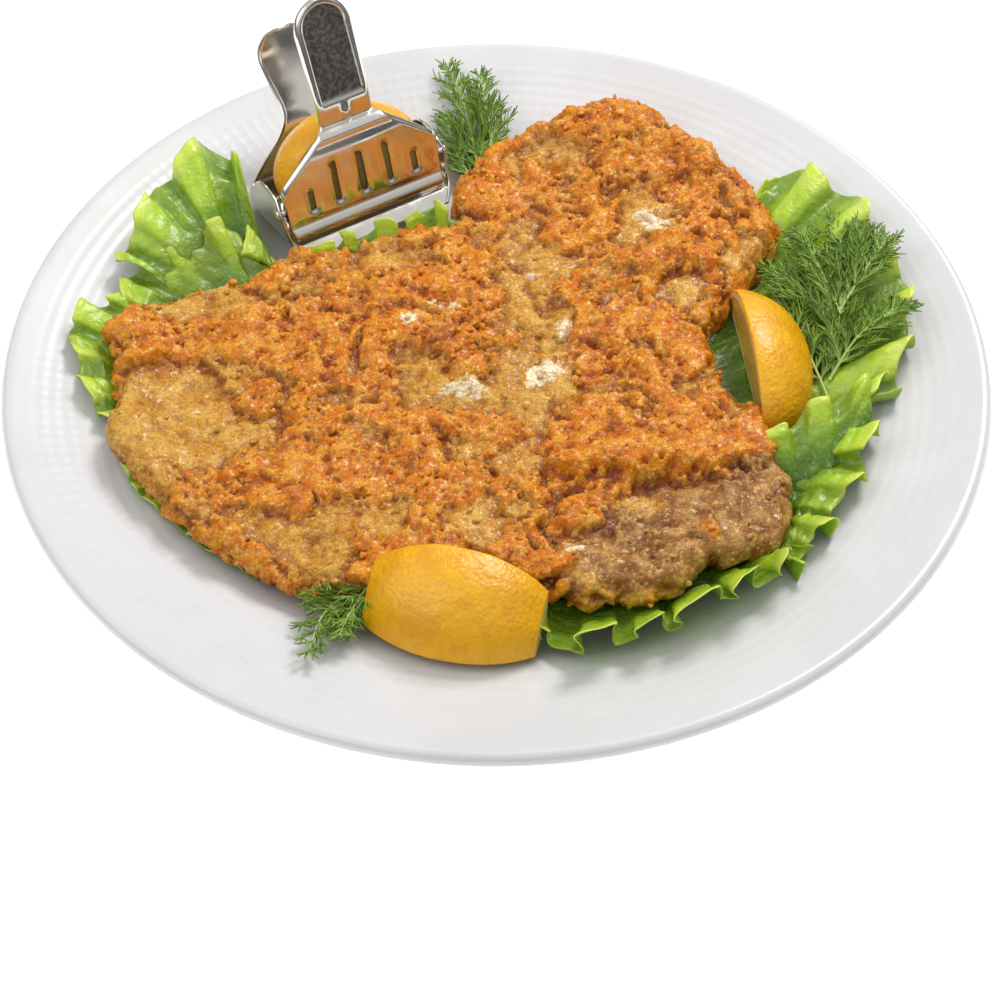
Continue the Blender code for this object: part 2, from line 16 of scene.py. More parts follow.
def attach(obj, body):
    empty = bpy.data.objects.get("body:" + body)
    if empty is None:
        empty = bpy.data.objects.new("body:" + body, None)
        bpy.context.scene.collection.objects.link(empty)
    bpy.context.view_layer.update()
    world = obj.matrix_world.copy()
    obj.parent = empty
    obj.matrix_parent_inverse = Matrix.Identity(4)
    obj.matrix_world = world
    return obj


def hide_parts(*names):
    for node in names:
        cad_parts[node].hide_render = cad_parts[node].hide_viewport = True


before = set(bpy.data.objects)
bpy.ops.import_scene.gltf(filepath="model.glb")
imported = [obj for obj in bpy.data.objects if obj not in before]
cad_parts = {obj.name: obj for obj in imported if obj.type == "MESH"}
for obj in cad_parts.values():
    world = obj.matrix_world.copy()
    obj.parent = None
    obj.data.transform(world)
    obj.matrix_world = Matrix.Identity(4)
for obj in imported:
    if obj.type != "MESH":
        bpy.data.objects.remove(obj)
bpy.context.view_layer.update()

LOG = logging.getLogger("plated_cutlet")
MM = 0.001
SMALLEST = 1e-9
FULL_TURN = 2 * math.pi
Colour = tuple[float, float, float, float]
Array = np.ndarray
Piece = bpy.types.Object
Node = bpy.types.Node
Tree = bpy.types.NodeTree
Socket = bpy.types.NodeSocket


class Body(Enum):
    """The bodies that a piece can ride on."""

    DISH = "dish"
    PRESS = "press"


class Slot(Enum):
    """The material slots of the part's record."""

    PORCELAIN = "porcelain"
    CRUST = "crust"
    LETTUCE = "lettuce"
    DILL = "dill"
    LEMON = "lemon"
    STEEL = "steel"


# Numbers and shapes


def tint(red: int, green: int, blue: int) -> Colour:
    """Return the linear colour of a screen colour.

    Args:
        red: Red from 0 to 255.
        green: Green from 0 to 255.
        blue: Blue from 0 to 255.

    Returns:
        The linear red, green, blue and a full alpha.
    """
    shares = [channel / 255 for channel in (red, green, blue)]
    linear = [c / 12.92 if c <= 0.04045 else ((c + 0.055) / 1.055) ** 2.4 for c in shares]
    return (*linear, 1.0)


def smoothstep(low: float, high: float, value: Array) -> Array:
    """Return 0 below low, 1 above high and a smooth rise between them."""
    share = np.clip((value - low) / (high - low), 0.0, 1.0)
    return share * share * (3 - 2 * share)


def curve_through(points: Sequence[Sequence[float]], count: int, loop: bool = False) -> Array:
    """Return evenly stepped places on a smooth curve through points.

    Args:
        points: The places that the curve passes through, of any dimension.
        count: How many places to return.
        loop: Whether the curve closes on itself.

    Returns:
        An array of count rows.
    """
    knots = np.array(points, float)
    size = len(knots)
    if loop:
        knots = np.vstack([knots, knots[:1]])
    steps = len(knots) - 1
    where = np.linspace(0, steps, count, endpoint=not loop)
    start = np.minimum(where.astype(int), steps - 1)
    part = (where - start)[:, None]

    def knot(index: Array) -> Array:
        """Return the knots at whole-number places, wrapped or held at the ends."""
        return knots[index % size] if loop else knots[np.clip(index, 0, steps)]

    before, a, b, after = knot(start - 1), knot(start), knot(start + 1), knot(start + 2)
    slope_a, slope_b = (b - before) / 2, (after - a) / 2
    square, cube = part**2, part**3
    bend = (2 * cube - 3 * square + 1) * a + (cube - 2 * square + part) * slope_a
    return bend + (3 * square - 2 * cube) * b + (cube - square) * slope_b


def path_distance(x: Array, y: Array, path: Sequence[Sequence[float]]) -> tuple:
    """Return how far places lie from a path, and on which side.

    Args:
        x: The places' first coordinates.
        y: The places' second coordinates.
        path: The corners of the path.

    Returns:
        The distance, the signed distance (positive left of the path) and the share along it.
    """
    best = np.full(x.shape, np.inf)
    side = np.zeros(x.shape)
    along = np.zeros(x.shape)
    count = len(path) - 1
    for index, ((x0, y0), (x1, y1)) in enumerate(zip(path, path[1:])):
        dx, dy = x1 - x0, y1 - y0
        share = np.clip(((x - x0) * dx + (y - y0) * dy) / (dx * dx + dy * dy), 0, 1)
        away_x, away_y = x - x0 - share * dx, y - y0 - share * dy
        away = np.hypot(away_x, away_y)
        nearer = away < best
        best = np.where(nearer, away, best)
        side = np.where(nearer, np.sign(dx * away_y - dy * away_x), side)
        along = np.where(nearer, (index + share) / count, along)
    return best, best * side, along


def soften(values: Array, reach: int) -> Array:
    """Return a grid averaged over reach cells each way, twice."""
    result = values
    for _ in range(2):
        for axis in (0, 1):
            pads = [(0, 0), (0, 0)]
            pads[axis] = (reach + 1, reach)
            total = np.cumsum(np.pad(result, pads, mode="edge"), axis)
            width = 2 * reach + 1
            size = result.shape[axis]
            ahead = np.take(total, np.arange(width, width + size), axis)
            behind = np.take(total, np.arange(size), axis)
            result = (ahead - behind) / width
    return result


@dataclass(frozen=True)
class Noise:
    """Repeatable gradient noise and cell noise over arrays of places."""

    seed: int = 1
    mask: int = 0xFFFFFFFF
    primes: tuple[int, int, int, int] = (374761393, 668265263, 2147483647, 1274126177)
    mixer: int = 2246822519
    gain: float = 1.7

    def share(self, cell: Array, salt: int) -> Array:
        """Return a repeatable number from 0 to 1 for whole-number cells.

        Args:
            cell: Whole numbers, with the last axis of length 3.
            salt: Which of many numbers for that cell to return.

        Returns:
            An array without the last axis.
        """
        px, py, pz, ps = self.primes
        value = cell[..., 0] * px + cell[..., 1] * py + cell[..., 2] * pz
        value = (value + self.seed * ps + salt * self.mixer) & self.mask
        value = ((value ^ (value >> 15)) * self.mixer) & self.mask
        value = ((value ^ (value >> 13)) * ps) & self.mask
        return ((value ^ (value >> 16)) & self.mask) / self.mask

    def smooth(self, places: Array, size: float, salt: int = 0) -> Array:
        """Return gradient noise of about -1 to 1.

        Args:
            places: Places with the last axis of length 3.
            size: The size of one cell.
            salt: Which of many noises to return.

        Returns:
            An array without the last axis.
        """
        scaled = places / size
        cell = np.floor(scaled).astype(np.int64)
        part = scaled - cell
        fade = part**3 * (part * (part * 6 - 15) + 10)
        total = np.zeros(places.shape[:-1])
        for corner in np.ndindex(2, 2, 2):
            step = np.array(corner)
            at = cell + step
            weight = np.prod(np.where(step == 1, fade, 1 - fade), axis=-1)
            slope = sum(
                (self.share(at, salt * 7 + axis) * 2 - 1) * (part[..., axis] - step[axis])
                for axis in range(3)
            )
            total += weight * slope
        return total * self.gain

    def layered(
        self, places: Array, size: float, layers: int, keep: float = 0.5, salt: int = 0
    ) -> Array:
        """Return gradient noise with finer layers added.

        Args:
            places: Places with the last axis of length 3.
            size: The size of the coarsest cell.
            layers: How many layers, each half the size of the one before.
            keep: Each layer's height as a share of the one before.
            salt: Which of many noises to return.

        Returns:
            An array without the last axis.
        """
        total = np.zeros(places.shape[:-1])
        for layer in range(layers):
            total += keep**layer * self.smooth(places, size / 2**layer, salt + 11 * layer)
        return total

    def cells(self, places: Array, size: float, salt: int = 0, flat: bool = True) -> tuple:
        """Return cell noise.

        Args:
            places: Places with the last axis of length 3.
            size: The size of one cell.
            salt: Which of many noises to return.
            flat: Whether only the first two coordinates count.

        Returns:
            The distances to the nearest and the second nearest cell point, as shares of size,
            and a number from 0 to 1 that belongs to the nearest cell.
        """
        scaled = places / size
        if flat:
            scaled = scaled * np.array([1.0, 1.0, 0.0])
        cell = np.floor(scaled).astype(np.int64)
        first = np.full(places.shape[:-1], np.inf)
        second = first.copy()
        own = np.zeros(places.shape[:-1])
        for corner in np.ndindex(3, 3, 1 if flat else 3):
            step = np.array(corner) - np.array([1, 1, 0 if flat else 1])
            at = cell + step
            away = np.zeros(places.shape[:-1])
            for axis in range(2 if flat else 3):
                away += (at[..., axis] + self.share(at, salt * 5 + axis) - scaled[..., axis]) ** 2
            away = np.sqrt(away)
            nearer = away < first
            second = np.where(nearer, first, np.minimum(second, away))
            own = np.where(nearer, self.share(at, salt * 5 + 3), own)
            first = np.where(nearer, away, first)
        return first, second, own


def stack(x: Array, y: Array, z: Array | float = 0.0) -> Array:
    """Return places made of three arrays of coordinates."""
    return np.stack(np.broadcast_arrays(x, y, z), axis=-1).astype(float)


def unit(ways: Array) -> Array:
    """Return ways of length 1, along the last axis."""
    return ways / np.maximum(np.linalg.norm(ways, axis=-1, keepdims=True), SMALLEST)


# Meshes


def add_object(name: str, data: bpy.types.ID) -> Piece:
    """Make an object of a mesh, light or camera and put it in the scene."""
    made = bpy.data.objects.new(name, data)
    bpy.context.scene.collection.objects.link(made)
    return made


@dataclass
class MeshParts:
    """Vertices in millimetres, faces and vertex masks, gathered for one mesh."""

    places: list = field(default_factory=list)
    faces: list = field(default_factory=list)
    masks: list = field(default_factory=list)
    total: int = 0

    def add(self, places: Array, faces: Array, masks: Array) -> None:
        """Add one shape.

        Args:
            places: Its vertices, one row each.
            faces: Its faces, rows of three or four vertex numbers.
            masks: Four shares for each vertex.
        """
        self.places.append(places.reshape(-1, 3))
        self.faces.append(faces + self.total)
        self.masks.append(masks.reshape(-1, 4))
        self.total += len(self.places[-1])

    def close_ends(self, loop: int) -> None:
        """Close a tube of rows of loop vertices, the only shape gathered, at both its ends."""
        ring = np.arange(loop)
        self.faces += [ring[None, :], (ring[::-1] + self.total - loop)[None, :]]

    def build(self, name: str) -> Piece:
        """Make the object, smooth shaded, with its masks as the attribute "masks"."""
        mesh = bpy.data.meshes.new(name)
        corners = np.concatenate([part.ravel() for part in self.faces]).astype(np.int32)
        sizes = np.concatenate([np.full(len(part), part.shape[1]) for part in self.faces])
        mesh.vertices.add(self.total)
        mesh.vertices.foreach_set("co", (np.vstack(self.places) * MM).astype(np.float32).ravel())
        mesh.loops.add(len(corners))
        mesh.loops.foreach_set("vertex_index", corners)
        mesh.polygons.add(len(sizes))
        starts = np.concatenate([[0], np.cumsum(sizes)[:-1]]).astype(np.int32)
        mesh.polygons.foreach_set("loop_start", starts)
        mesh.update(calc_edges=True)
        mesh.validate()
        mesh.shade_smooth()
        attribute = mesh.attributes.new("masks", "FLOAT_COLOR", "POINT")
        attribute.data.foreach_set("color", np.vstack(self.masks).astype(np.float32).ravel())
        return add_object(name, mesh)


def grid_faces(rows: int, columns: int, round_columns: bool = False) -> Array:
    """Return the four-sided faces of a grid of vertices.

    Args:
        rows: How many rows of vertices.
        columns: How many vertices in a row.
        round_columns: Whether each row closes on itself.

    Returns:
        Rows of four vertex numbers.
    """
    reach = columns if round_columns else columns - 1
    row, column = np.meshgrid(np.arange(rows - 1), np.arange(reach), indexing="ij")
    after = (column + 1) % columns
    corners = [
        row * columns + column,
        (row + 1) * columns + column,
        (row + 1) * columns + after,
        row * columns + after,
    ]
    return np.stack(corners, -1).reshape(-1, 4)


def grid_normals(grid: Array) -> Array:
    """Return the unit normals of a grid of places, along rows crossed with along columns."""
    return unit(np.cross(np.gradient(grid, axis=0), np.gradient(grid, axis=1)))


def mark_meat(piece: Piece, shares: Array) -> None:
    """Give each vertex of a piece its share of bare meat."""
    attribute = piece.data.attributes.new("meat", "FLOAT", "POINT")
    attribute.data.foreach_set("value", shares.astype(np.float32))


def closed_sheet(grid: Array, thickness: Array | float) -> tuple:
    """Give a grid of places a thickness.

    Args:
        grid: Places in rows and columns.
        thickness: The sheet's thickness, one number or one for each place.

    Returns:
        The vertices of both faces and the faces that close them.
    """
    rows, columns = grid.shape[:2]
    shift = grid_normals(grid) * (np.asarray(thickness) / 2 * np.ones(grid.shape[:2]))[..., None]
    places = np.concatenate([(grid + shift).reshape(-1, 3), (grid - shift).reshape(-1, 3)])
    top = grid_faces(rows, columns)
    size = rows * columns
    ring = np.concatenate(
        [
            np.arange(columns),
            np.arange(1, rows) * columns + columns - 1,
            (rows - 1) * columns + np.arange(columns - 2, -1, -1),
            np.arange(rows - 2, 0, -1) * columns,
        ]
    )
    after = np.roll(ring, -1)
    sides = np.stack([ring, after, after + size, ring + size], -1)
    return places, np.concatenate([top, top[:, ::-1] + size, sides])


def tube(path: Array, radii: Array, sides: int) -> tuple:
    """Return a closed tube round a path.

    Args:
        path: The centre line's places.
        radii: The radius at each place.
        sides: How many sides the tube has.

    Returns:
        Its vertices, its four-sided faces and the faces that close its start and its end.
    """
    along = unit(np.gradient(path, axis=0))
    guide = np.array([0.31, 0.17, 0.93])
    across = unit(np.cross(along, guide))
    other = np.cross(along, across)
    angle = np.arange(sides) / sides * FULL_TURN
    wheel = across[:, None] * np.cos(angle)[:, None] + other[:, None] * np.sin(angle)[:, None]
    places = path[:, None] + wheel * radii[:, None, None]
    faces = grid_faces(len(path), sides, round_columns=True)[:, ::-1]
    start = np.arange(sides)[None, :]
    end = start[:, ::-1] + (len(path) - 1) * sides
    return places, faces, start, end


# Plate heights


PLATE_FACE = (
    (0.0, 8.0),
    (100.0, 8.0),
    (106.0, 8.8),
    (112.0, 11.2),
    (118.0, 14.0),
    (124.0, 15.6),
    (140.0, 19.0),
    (156.0, 23.2),
    (170.0, 27.0),
)


def plate_height(x: Array, y: Array) -> Array:
    """Return the height of the plate's upper face at places, in millimetres."""
    radius = np.hypot(x, y)
    reach, height = zip(*PLATE_FACE)
    steps = (-2.4, -1.2, 0.0, 1.2, 2.4)
    return sum(np.interp(radius + step, reach, height) for step in steps) / len(steps)


# Shader building


class NodeSheet:
    """Adds nodes and links to one node tree."""

    def __init__(self, tree: Tree) -> None:
        """Keep the tree to build in."""
        self.tree = tree

    def node(self, kind: str, **settings: object) -> Node:
        """Add a node and set its plain settings.

        Args:
            kind: The node's type name.
            **settings: Attributes of the node to set.

        Returns:
            The new node.
        """
        made = self.tree.nodes.new(kind)
        for key, value in settings.items():
            setattr(made, key, value)
        return made

    def feed(self, socket: Socket, value: object) -> None:
        """Link another socket into this one, or set its plain value."""
        if isinstance(value, Socket):
            self.tree.links.new(value, socket)
        else:
            socket.default_value = value

    def math(self, operation: str, first: object, second: object = 0.0) -> Socket:
        """Return the result of one sum.

        Args:
            operation: The sum's name.
            first: Its first value or socket.
            second: Its second value or socket.

        Returns:
            The result's socket.
        """
        made = self.node("ShaderNodeMath", operation=operation)
        self.feed(made.inputs[0], first)
        self.feed(made.inputs[1], second)
        return made.outputs[0]

    def ramp(
        self, value: object, low: float, high: float, start: float = 0.0, end: float = 1.0
    ) -> Socket:
        """Return a smooth rise from start to end as the value goes from low to high.

        Args:
            value: The value or socket that drives it.
            low: The value at which the rise starts.
            high: The value at which the rise ends.
            start: The result below low.
            end: The result above high.

        Returns:
            The result's socket.
        """
        made = self.node("ShaderNodeMapRange", interpolation_type="SMOOTHSTEP")
        for socket, given in zip(made.inputs, (value, low, high, start, end)):
            self.feed(socket, given)
        return made.outputs[0]

    def mix(
        self, share: object, first: object, second: object, blend: str = "MIX"
    ) -> Socket:
        """Return a mix of two colours.

        Args:
            share: How much of the second colour.
            first: The first colour or socket.
            second: The second colour or socket.
            blend: How they combine.

        Returns:
            The mixed colour's socket.
        """
        made = self.node("ShaderNodeMix", data_type="RGBA", blend_type=blend)
        self.feed(made.inputs[0], share)
        self.feed(made.inputs[6], first)
        self.feed(made.inputs[7], second)
        return made.outputs[2]

    def noise(
        self, where: object, scale: float | Socket, detail: float, rough: float
    ) -> Socket:
        """Return gradient noise from 0 to 1 at places scaled by scale."""
        made = self.node("ShaderNodeTexNoise")
        self.feed(made.inputs["Vector"], where)
        self.feed(made.inputs["Scale"], scale)
        made.inputs["Detail"].default_value = detail
        made.inputs["Roughness"].default_value = rough
        return made.outputs["Fac"]

    def cells(self, where: object, scale: object) -> Node:
        """Add a texture of cells."""
        made = self.node("ShaderNodeTexVoronoi", feature="F1")
        self.feed(made.inputs["Vector"], where)
        self.feed(made.inputs["Scale"], scale)
        return made

    def masks(self) -> list[Socket]:
        """Return the three colour masks and the alpha mask of the mesh."""
        made = self.node("ShaderNodeAttribute", attribute_name="masks")
        split = self.node("ShaderNodeSeparateColor")
        self.tree.links.new(made.outputs["Color"], split.inputs[0])
        return [*split.outputs, made.outputs["Alpha"]]

    def places(self) -> Socket:
        """Return the places on the piece in its own frame."""
        return self.node("ShaderNodeTexCoord").outputs["Object"]

    def use(self, group: Tree, **values: object) -> dict:
        """Place a shared group.

        Args:
            group: The group to place.
            **values: Its inputs by name, with _ for a blank.

        Returns:
            Its outputs by name.
        """
        made = self.node("ShaderNodeGroup", node_tree=group)
        for key, value in values.items():
            self.feed(made.inputs[key.replace("_", " ")], value)
        return {socket.name: socket for socket in made.outputs}

    def drift(
        self, first: object, second: object, scale: float, amount: float, where: object
    ) -> Socket:
        """Return the first colour, drifting to the second in patches."""
        group = Effects.tone_drift()
        return self.use(
            group, Colour=first, Drift_Colour=second, Scale=scale, Amount=amount, Places=where
        )["Colour"]

    def deepen(self, colour: object, deep: object, hollow: object) -> Socket:
        """Return the colour, deepened in hollows."""
        group = Effects.hollow_shade()
        return self.use(group, Colour=colour, Deep_Colour=deep, Hollow=hollow)["Colour"]


class Effects:
    """Shared shader groups, each built once and placed in many materials."""

    @staticmethod
    def start(name: str, inputs: Sequence, outputs: Sequence) -> tuple:
        """Start a group with named inputs and outputs.

        Args:
            name: The group's name.
            inputs: Pairs of a socket type and a name.
            outputs: Pairs of a socket type and a name.

        Returns:
            The group, its sheet, its input sockets by name and its output node.
        """
        group = bpy.data.node_groups.new(name, "ShaderNodeTree")
        for in_out, rows in (("INPUT", inputs), ("OUTPUT", outputs)):
            for kind, label in rows:
                group.interface.new_socket(label, in_out=in_out, socket_type=f"NodeSocket{kind}")
        sheet = NodeSheet(group)
        entry = sheet.node("NodeGroupInput")
        leave = sheet.node("NodeGroupOutput")
        return group, sheet, {socket.name: socket for socket in entry.outputs}, leave

    @staticmethod
    @cache
    def tone_drift() -> Tree:
        """Return the group that drifts a colour towards another in soft patches."""
        group, sheet, inputs, leave = Effects.start(
            "tone_drift",
            (
                ("Color", "Colour"),
                ("Color", "Drift Colour"),
                ("Float", "Scale"),
                ("Float", "Amount"),
                ("Vector", "Places"),
            ),
            (("Color", "Colour"), ("Float", "Mask")),
        )
        field = sheet.noise(inputs["Places"], inputs["Scale"], 3.0, 0.6)
        mask = sheet.ramp(field, 0.42, 0.62)
        share = sheet.math("MULTIPLY", mask, inputs["Amount"])
        sheet.feed(leave.inputs[0], sheet.mix(share, inputs["Colour"], inputs["Drift Colour"]))
        sheet.feed(leave.inputs[1], mask)
        return group

    @staticmethod
    @cache
    def fine_relief() -> Tree:
        """Return the group that gives the height of a fine grain of bumps and pits."""
        group, sheet, inputs, leave = Effects.start(
            "fine_relief",
            (("Float", "Scale"), ("Float", "Cell Share"), ("Vector", "Places")),
            (("Float", "Height"),),
        )
        grain = sheet.noise(inputs["Places"], inputs["Scale"], 2.0, 0.6)
        cells = sheet.cells(inputs["Places"], sheet.math("MULTIPLY", inputs["Scale"], 0.7))
        lumps = sheet.math("MULTIPLY", cells.outputs["Distance"], inputs["Cell Share"])
        sheet.feed(leave.inputs[0], sheet.math("SUBTRACT", grain, lumps))
        return group

    @staticmethod
    @cache
    def crumb_grain() -> Tree:
        """Return the group of small crumbs: their height, each one's own tone and their gaps."""
        group, sheet, inputs, leave = Effects.start(
            "crumb_grain",
            (("Float", "Scale"), ("Vector", "Places")),
            (("Float", "Height"), ("Float", "Tone"), ("Float", "Gap")),
        )
        cells = sheet.cells(inputs["Places"], inputs["Scale"])
        split = sheet.node("ShaderNodeSeparateXYZ")
        sheet.feed(split.inputs[0], cells.outputs["Color"])
        size = sheet.math("MULTIPLY", split.outputs["Y"], 0.5)
        sheet.feed(leave.inputs[0], sheet.math("SUBTRACT", size, cells.outputs["Distance"]))
        sheet.feed(leave.inputs[1], split.outputs["X"])
        sheet.feed(leave.inputs[2], sheet.ramp(cells.outputs["Distance"], 0.42, 0.78))
        return group

    @staticmethod
    @cache
    def hollow_shade() -> Tree:
        """Return the group that deepens a colour in hollows."""
        group, sheet, inputs, leave = Effects.start(
            "hollow_shade",
            (("Color", "Colour"), ("Color", "Deep Colour"), ("Float", "Hollow")),
            (("Color", "Colour"),),
        )
        deep = sheet.mix(1.0, inputs["Colour"], inputs["Deep Colour"], "MULTIPLY")
        sheet.feed(leave.inputs[0], sheet.mix(inputs["Hollow"], inputs["Colour"], deep))
        return group

    @staticmethod
    @cache
    def smudge() -> Tree:
        """Return the group that spreads a value between two limits in smudges."""
        group, sheet, inputs, leave = Effects.start(
            "smudge",
            (("Float", "Low"), ("Float", "High"), ("Float", "Scale"), ("Vector", "Places")),
            (("Float", "Value"),),
        )
        field = sheet.ramp(sheet.noise(inputs["Places"], inputs["Scale"], 3.0, 0.6), 0.35, 0.65)
        span = sheet.math("SUBTRACT", inputs["High"], inputs["Low"])
        value = sheet.math("ADD", inputs["Low"], sheet.math("MULTIPLY", field, span))
        sheet.feed(leave.inputs[0], value)
        return group


@dataclass(frozen=True)
class Finish:
    """What every finish shares: a name, gloss and a bump's depth."""

    name: str
    slot: Slot
    gloss: float = 0.0
    gloss_rough: float = 0.1
    bump_depth: float = 0.0001

    def start(self) -> tuple[bpy.types.Material, NodeSheet, Node, Socket]:
        """Start the material.

        Returns:
            The material, its sheet, its surface shader and the places on the piece.
        """
        material = bpy.data.materials.new(self.name)
        material.use_nodes = True
        sheet = NodeSheet(material.node_tree)
        shader = material.node_tree.nodes["Principled BSDF"]
        shader.inputs["Coat Weight"].default_value = self.gloss
        shader.inputs["Coat Roughness"].default_value = self.gloss_rough
        return material, sheet, shader, sheet.places()

    def bump(self, sheet: NodeSheet, shader: Node, height: object) -> None:
        """Feed a height into the shader's normal.

        Args:
            sheet: The material's sheet.
            shader: The surface shader.
            height: The height's socket, from 0 to 1.
        """
        made = sheet.node("ShaderNodeBump")
        made.inputs["Distance"].default_value = self.bump_depth
        sheet.feed(made.inputs["Height"], height)
        sheet.feed(shader.inputs["Normal"], made.outputs["Normal"])

    def roughen(self, sheet: NodeSheet, shader: Node, smudge: tuple) -> None:
        """Smudge the roughness between two limits.

        Args:
            sheet: The material's sheet.
            shader: The surface shader.
            smudge: The lowest and highest roughness and the smudges' scale.
        """
        low, high, scale = smudge
        group = Effects.smudge()
        rough = sheet.use(group, Low=low, High=high, Scale=scale, Places=sheet.places())
        sheet.feed(shader.inputs["Roughness"], rough["Value"])

    def grain(self, sheet: NodeSheet, shader: Node, scale: float, cells: float) -> None:
        """Bump the surface with a fine grain.

        Args:
            sheet: The material's sheet.
            shader: The surface shader.
            scale: The grain's scale.
            cells: How much of it is round pits.
        """
        group = Effects.fine_relief()
        made = sheet.use(group, Scale=scale, Cell_Share=cells, Places=sheet.places())
        self.bump(sheet, shader, made["Height"])

    def softness(self, shader: Node, weight: float, reach: tuple, scale: float) -> None:
        """Let light pass a little way in.

        Args:
            shader: The surface shader.
            weight: How much light goes in.
            reach: How far red, green and blue go, as shares of scale.
            scale: How far in metres.
        """
        shader.inputs["Subsurface Weight"].default_value = weight
        shader.inputs["Subsurface Radius"].default_value = reach
        shader.inputs["Subsurface Scale"].default_value = scale

    def dress(self, piece: Piece) -> None:
        """Give a piece this finish."""
        existing = bpy.data.materials.get(self.name)
        piece.data.materials.clear()
        piece.data.materials.append(existing or self.make())

    def make(self) -> bpy.types.Material:
        """Build the material."""
        raise NotImplementedError


@dataclass(frozen=True)
class PorcelainFinish(Finish):
    """White glazed porcelain."""

    glaze: Colour = tint(220, 220, 221)
    shade: Colour = tint(214, 213, 213)
    rough: float = 0.32

    def make(self) -> bpy.types.Material:
        """Build the material."""
        material, sheet, shader, places = self.start()
        glaze = sheet.drift(self.glaze, self.shade, 22.0, 0.7, places)
        sheet.feed(shader.inputs["Base Color"], glaze)
        self.roughen(sheet, shader, (0.26, self.rough, 60.0))
        self.grain(sheet, shader, 500.0, 0.3)
        return material


@dataclass(frozen=True)
class CrustFinish(Finish):
    """Fried breading: pale batter, orange crust, dark toasted patches, cream patches and bare meat.

    The mesh's masks are crust, toast, cream and hollow, and meat is a mask of its own. Hollow is
    painted shade in the relief's hollows and where the edge turns under. The colour also has
    painted shade in the gaps between crumbs and painted highlights on some crumbs.
    """

    batter: Colour = tint(206, 144, 42)
    pale: Colour = tint(224, 176, 80)
    orange: Colour = tint(216, 118, 4)
    amber: Colour = tint(236, 162, 36)
    toasted: Colour = tint(158, 78, 6)
    cream: Colour = tint(250, 238, 200)
    meat: Colour = tint(196, 148, 84)
    meat_deep: Colour = tint(150, 98, 40)
    # Painted highlight colour for crumbs that look lit.
    crumb_highlight: Colour = tint(238, 190, 96)
    # Painted shade colour, multiplied in where the hollow mask is high.
    deep: Colour = tint(176, 132, 84)
    # Painted shade colour for the gaps between crumbs.
    gap_shade: Colour = tint(150, 88, 30)

    def make(self) -> bpy.types.Material:
        """Build the material."""
        material, sheet, shader, places = self.start()
        shader.inputs["Specular IOR Level"].default_value = 0.3
        crust, toast, cream, hollow = sheet.masks()
        second = sheet.node("ShaderNodeAttribute", attribute_name="meat")
        crumb = sheet.use(Effects.crumb_grain(), Scale=880.0, Places=places)
        own = sheet.math("SUBTRACT", crumb["Tone"], 0.5)
        wide = sheet.math("SUBTRACT", sheet.noise(places, 420.0, 3.0, 0.65), 0.5)
        wander = sheet.math("ADD", sheet.math("MULTIPLY", own, 0.2), sheet.math("MULTIPLY", wide, 1.1))
        batter = sheet.drift(self.batter, self.pale, 150.0, 0.85, places)
        orange = sheet.drift(self.orange, self.amber, 210.0, 0.8, places)
        meat = sheet.drift(self.meat_deep, self.meat, 150.0, 0.9, places)
        crust_edge = sheet.ramp(sheet.math("ADD", crust, wander), 0.18, 0.82)
        colour = sheet.mix(crust_edge, batter, orange)
        meat_edge = sheet.ramp(sheet.math("ADD", second.outputs["Fac"], wander), 0.3, 0.8)
        colour = sheet.mix(meat_edge, colour, meat)
        # Painted highlights: some crumbs, picked by their own tone and a wide noise, are lightened as if
        # lit.
        lit = sheet.ramp(sheet.math("ADD", own, wide), 0.2, 0.5, 0.0, 0.6)
        colour = sheet.mix(lit, colour, self.crumb_highlight)
        toast_edge = sheet.ramp(sheet.math("ADD", toast, wander), 0.35, 0.95, 0.0, 0.9)
        colour = sheet.mix(toast_edge, colour, self.toasted)
        cream_edge = sheet.ramp(sheet.math("ADD", cream, wander), 0.35, 0.8)
        colour = sheet.mix(cream_edge, colour, self.cream)
        # Painted shade in the gaps between crumbs.
        gap_shade_share = sheet.ramp(crumb["Gap"], 0.3, 1.0, 0.0, 0.35)
        colour = sheet.mix(gap_shade_share, colour, self.gap_shade)
        shaded = sheet.deepen(colour, self.deep, hollow)
        sheet.feed(shader.inputs["Base Color"], shaded)
        rough = sheet.ramp(crumb["Tone"], 0.0, 1.0, 0.34, 0.6)
        sheet.feed(shader.inputs["Roughness"], rough)
        oil = sheet.ramp(sheet.math("ADD", wide, own), -0.1, 0.35, 0.0, self.gloss)
        sheet.feed(shader.inputs["Coat Weight"], oil)
        self.bump(sheet, shader, crumb["Height"])
        return material


@dataclass(frozen=True)
class LemonFinish(Finish):
    """Lemon: peel, pith and flesh. The mesh's masks are peel, pith, vesicle tone and shade."""

    peel: Colour = tint(246, 180, 0)
    peel_deep: Colour = tint(230, 156, 0)
    pith: Colour = tint(248, 232, 176)
    # Both flesh colours are darker than a lemon's own flesh: painted shade, since the cut faces lie in
    # shade.
    flesh: Colour = tint(184, 150, 40)
    flesh_light: Colour = tint(216, 186, 84)
    shade: Colour = tint(190, 138, 40)

    def make(self) -> bpy.types.Material:
        """Build the material."""
        material, sheet, shader, places = self.start()
        peel, pith, tone, hollow = sheet.masks()
        skin = sheet.drift(self.peel, self.peel_deep, 90.0, 0.6, places)
        # The flesh colours carry painted shade for the cut faces.
        colour = sheet.mix(tone, self.flesh, self.flesh_light)
        colour = sheet.mix(pith, colour, self.pith)
        colour = sheet.mix(peel, colour, skin)
        shaded = sheet.deepen(colour, self.shade, hollow)
        sheet.feed(shader.inputs["Base Color"], shaded)
        self.roughen(sheet, shader, (0.28, 0.42, 400.0))
        self.grain(sheet, shader, 900.0, 0.9)
        return material


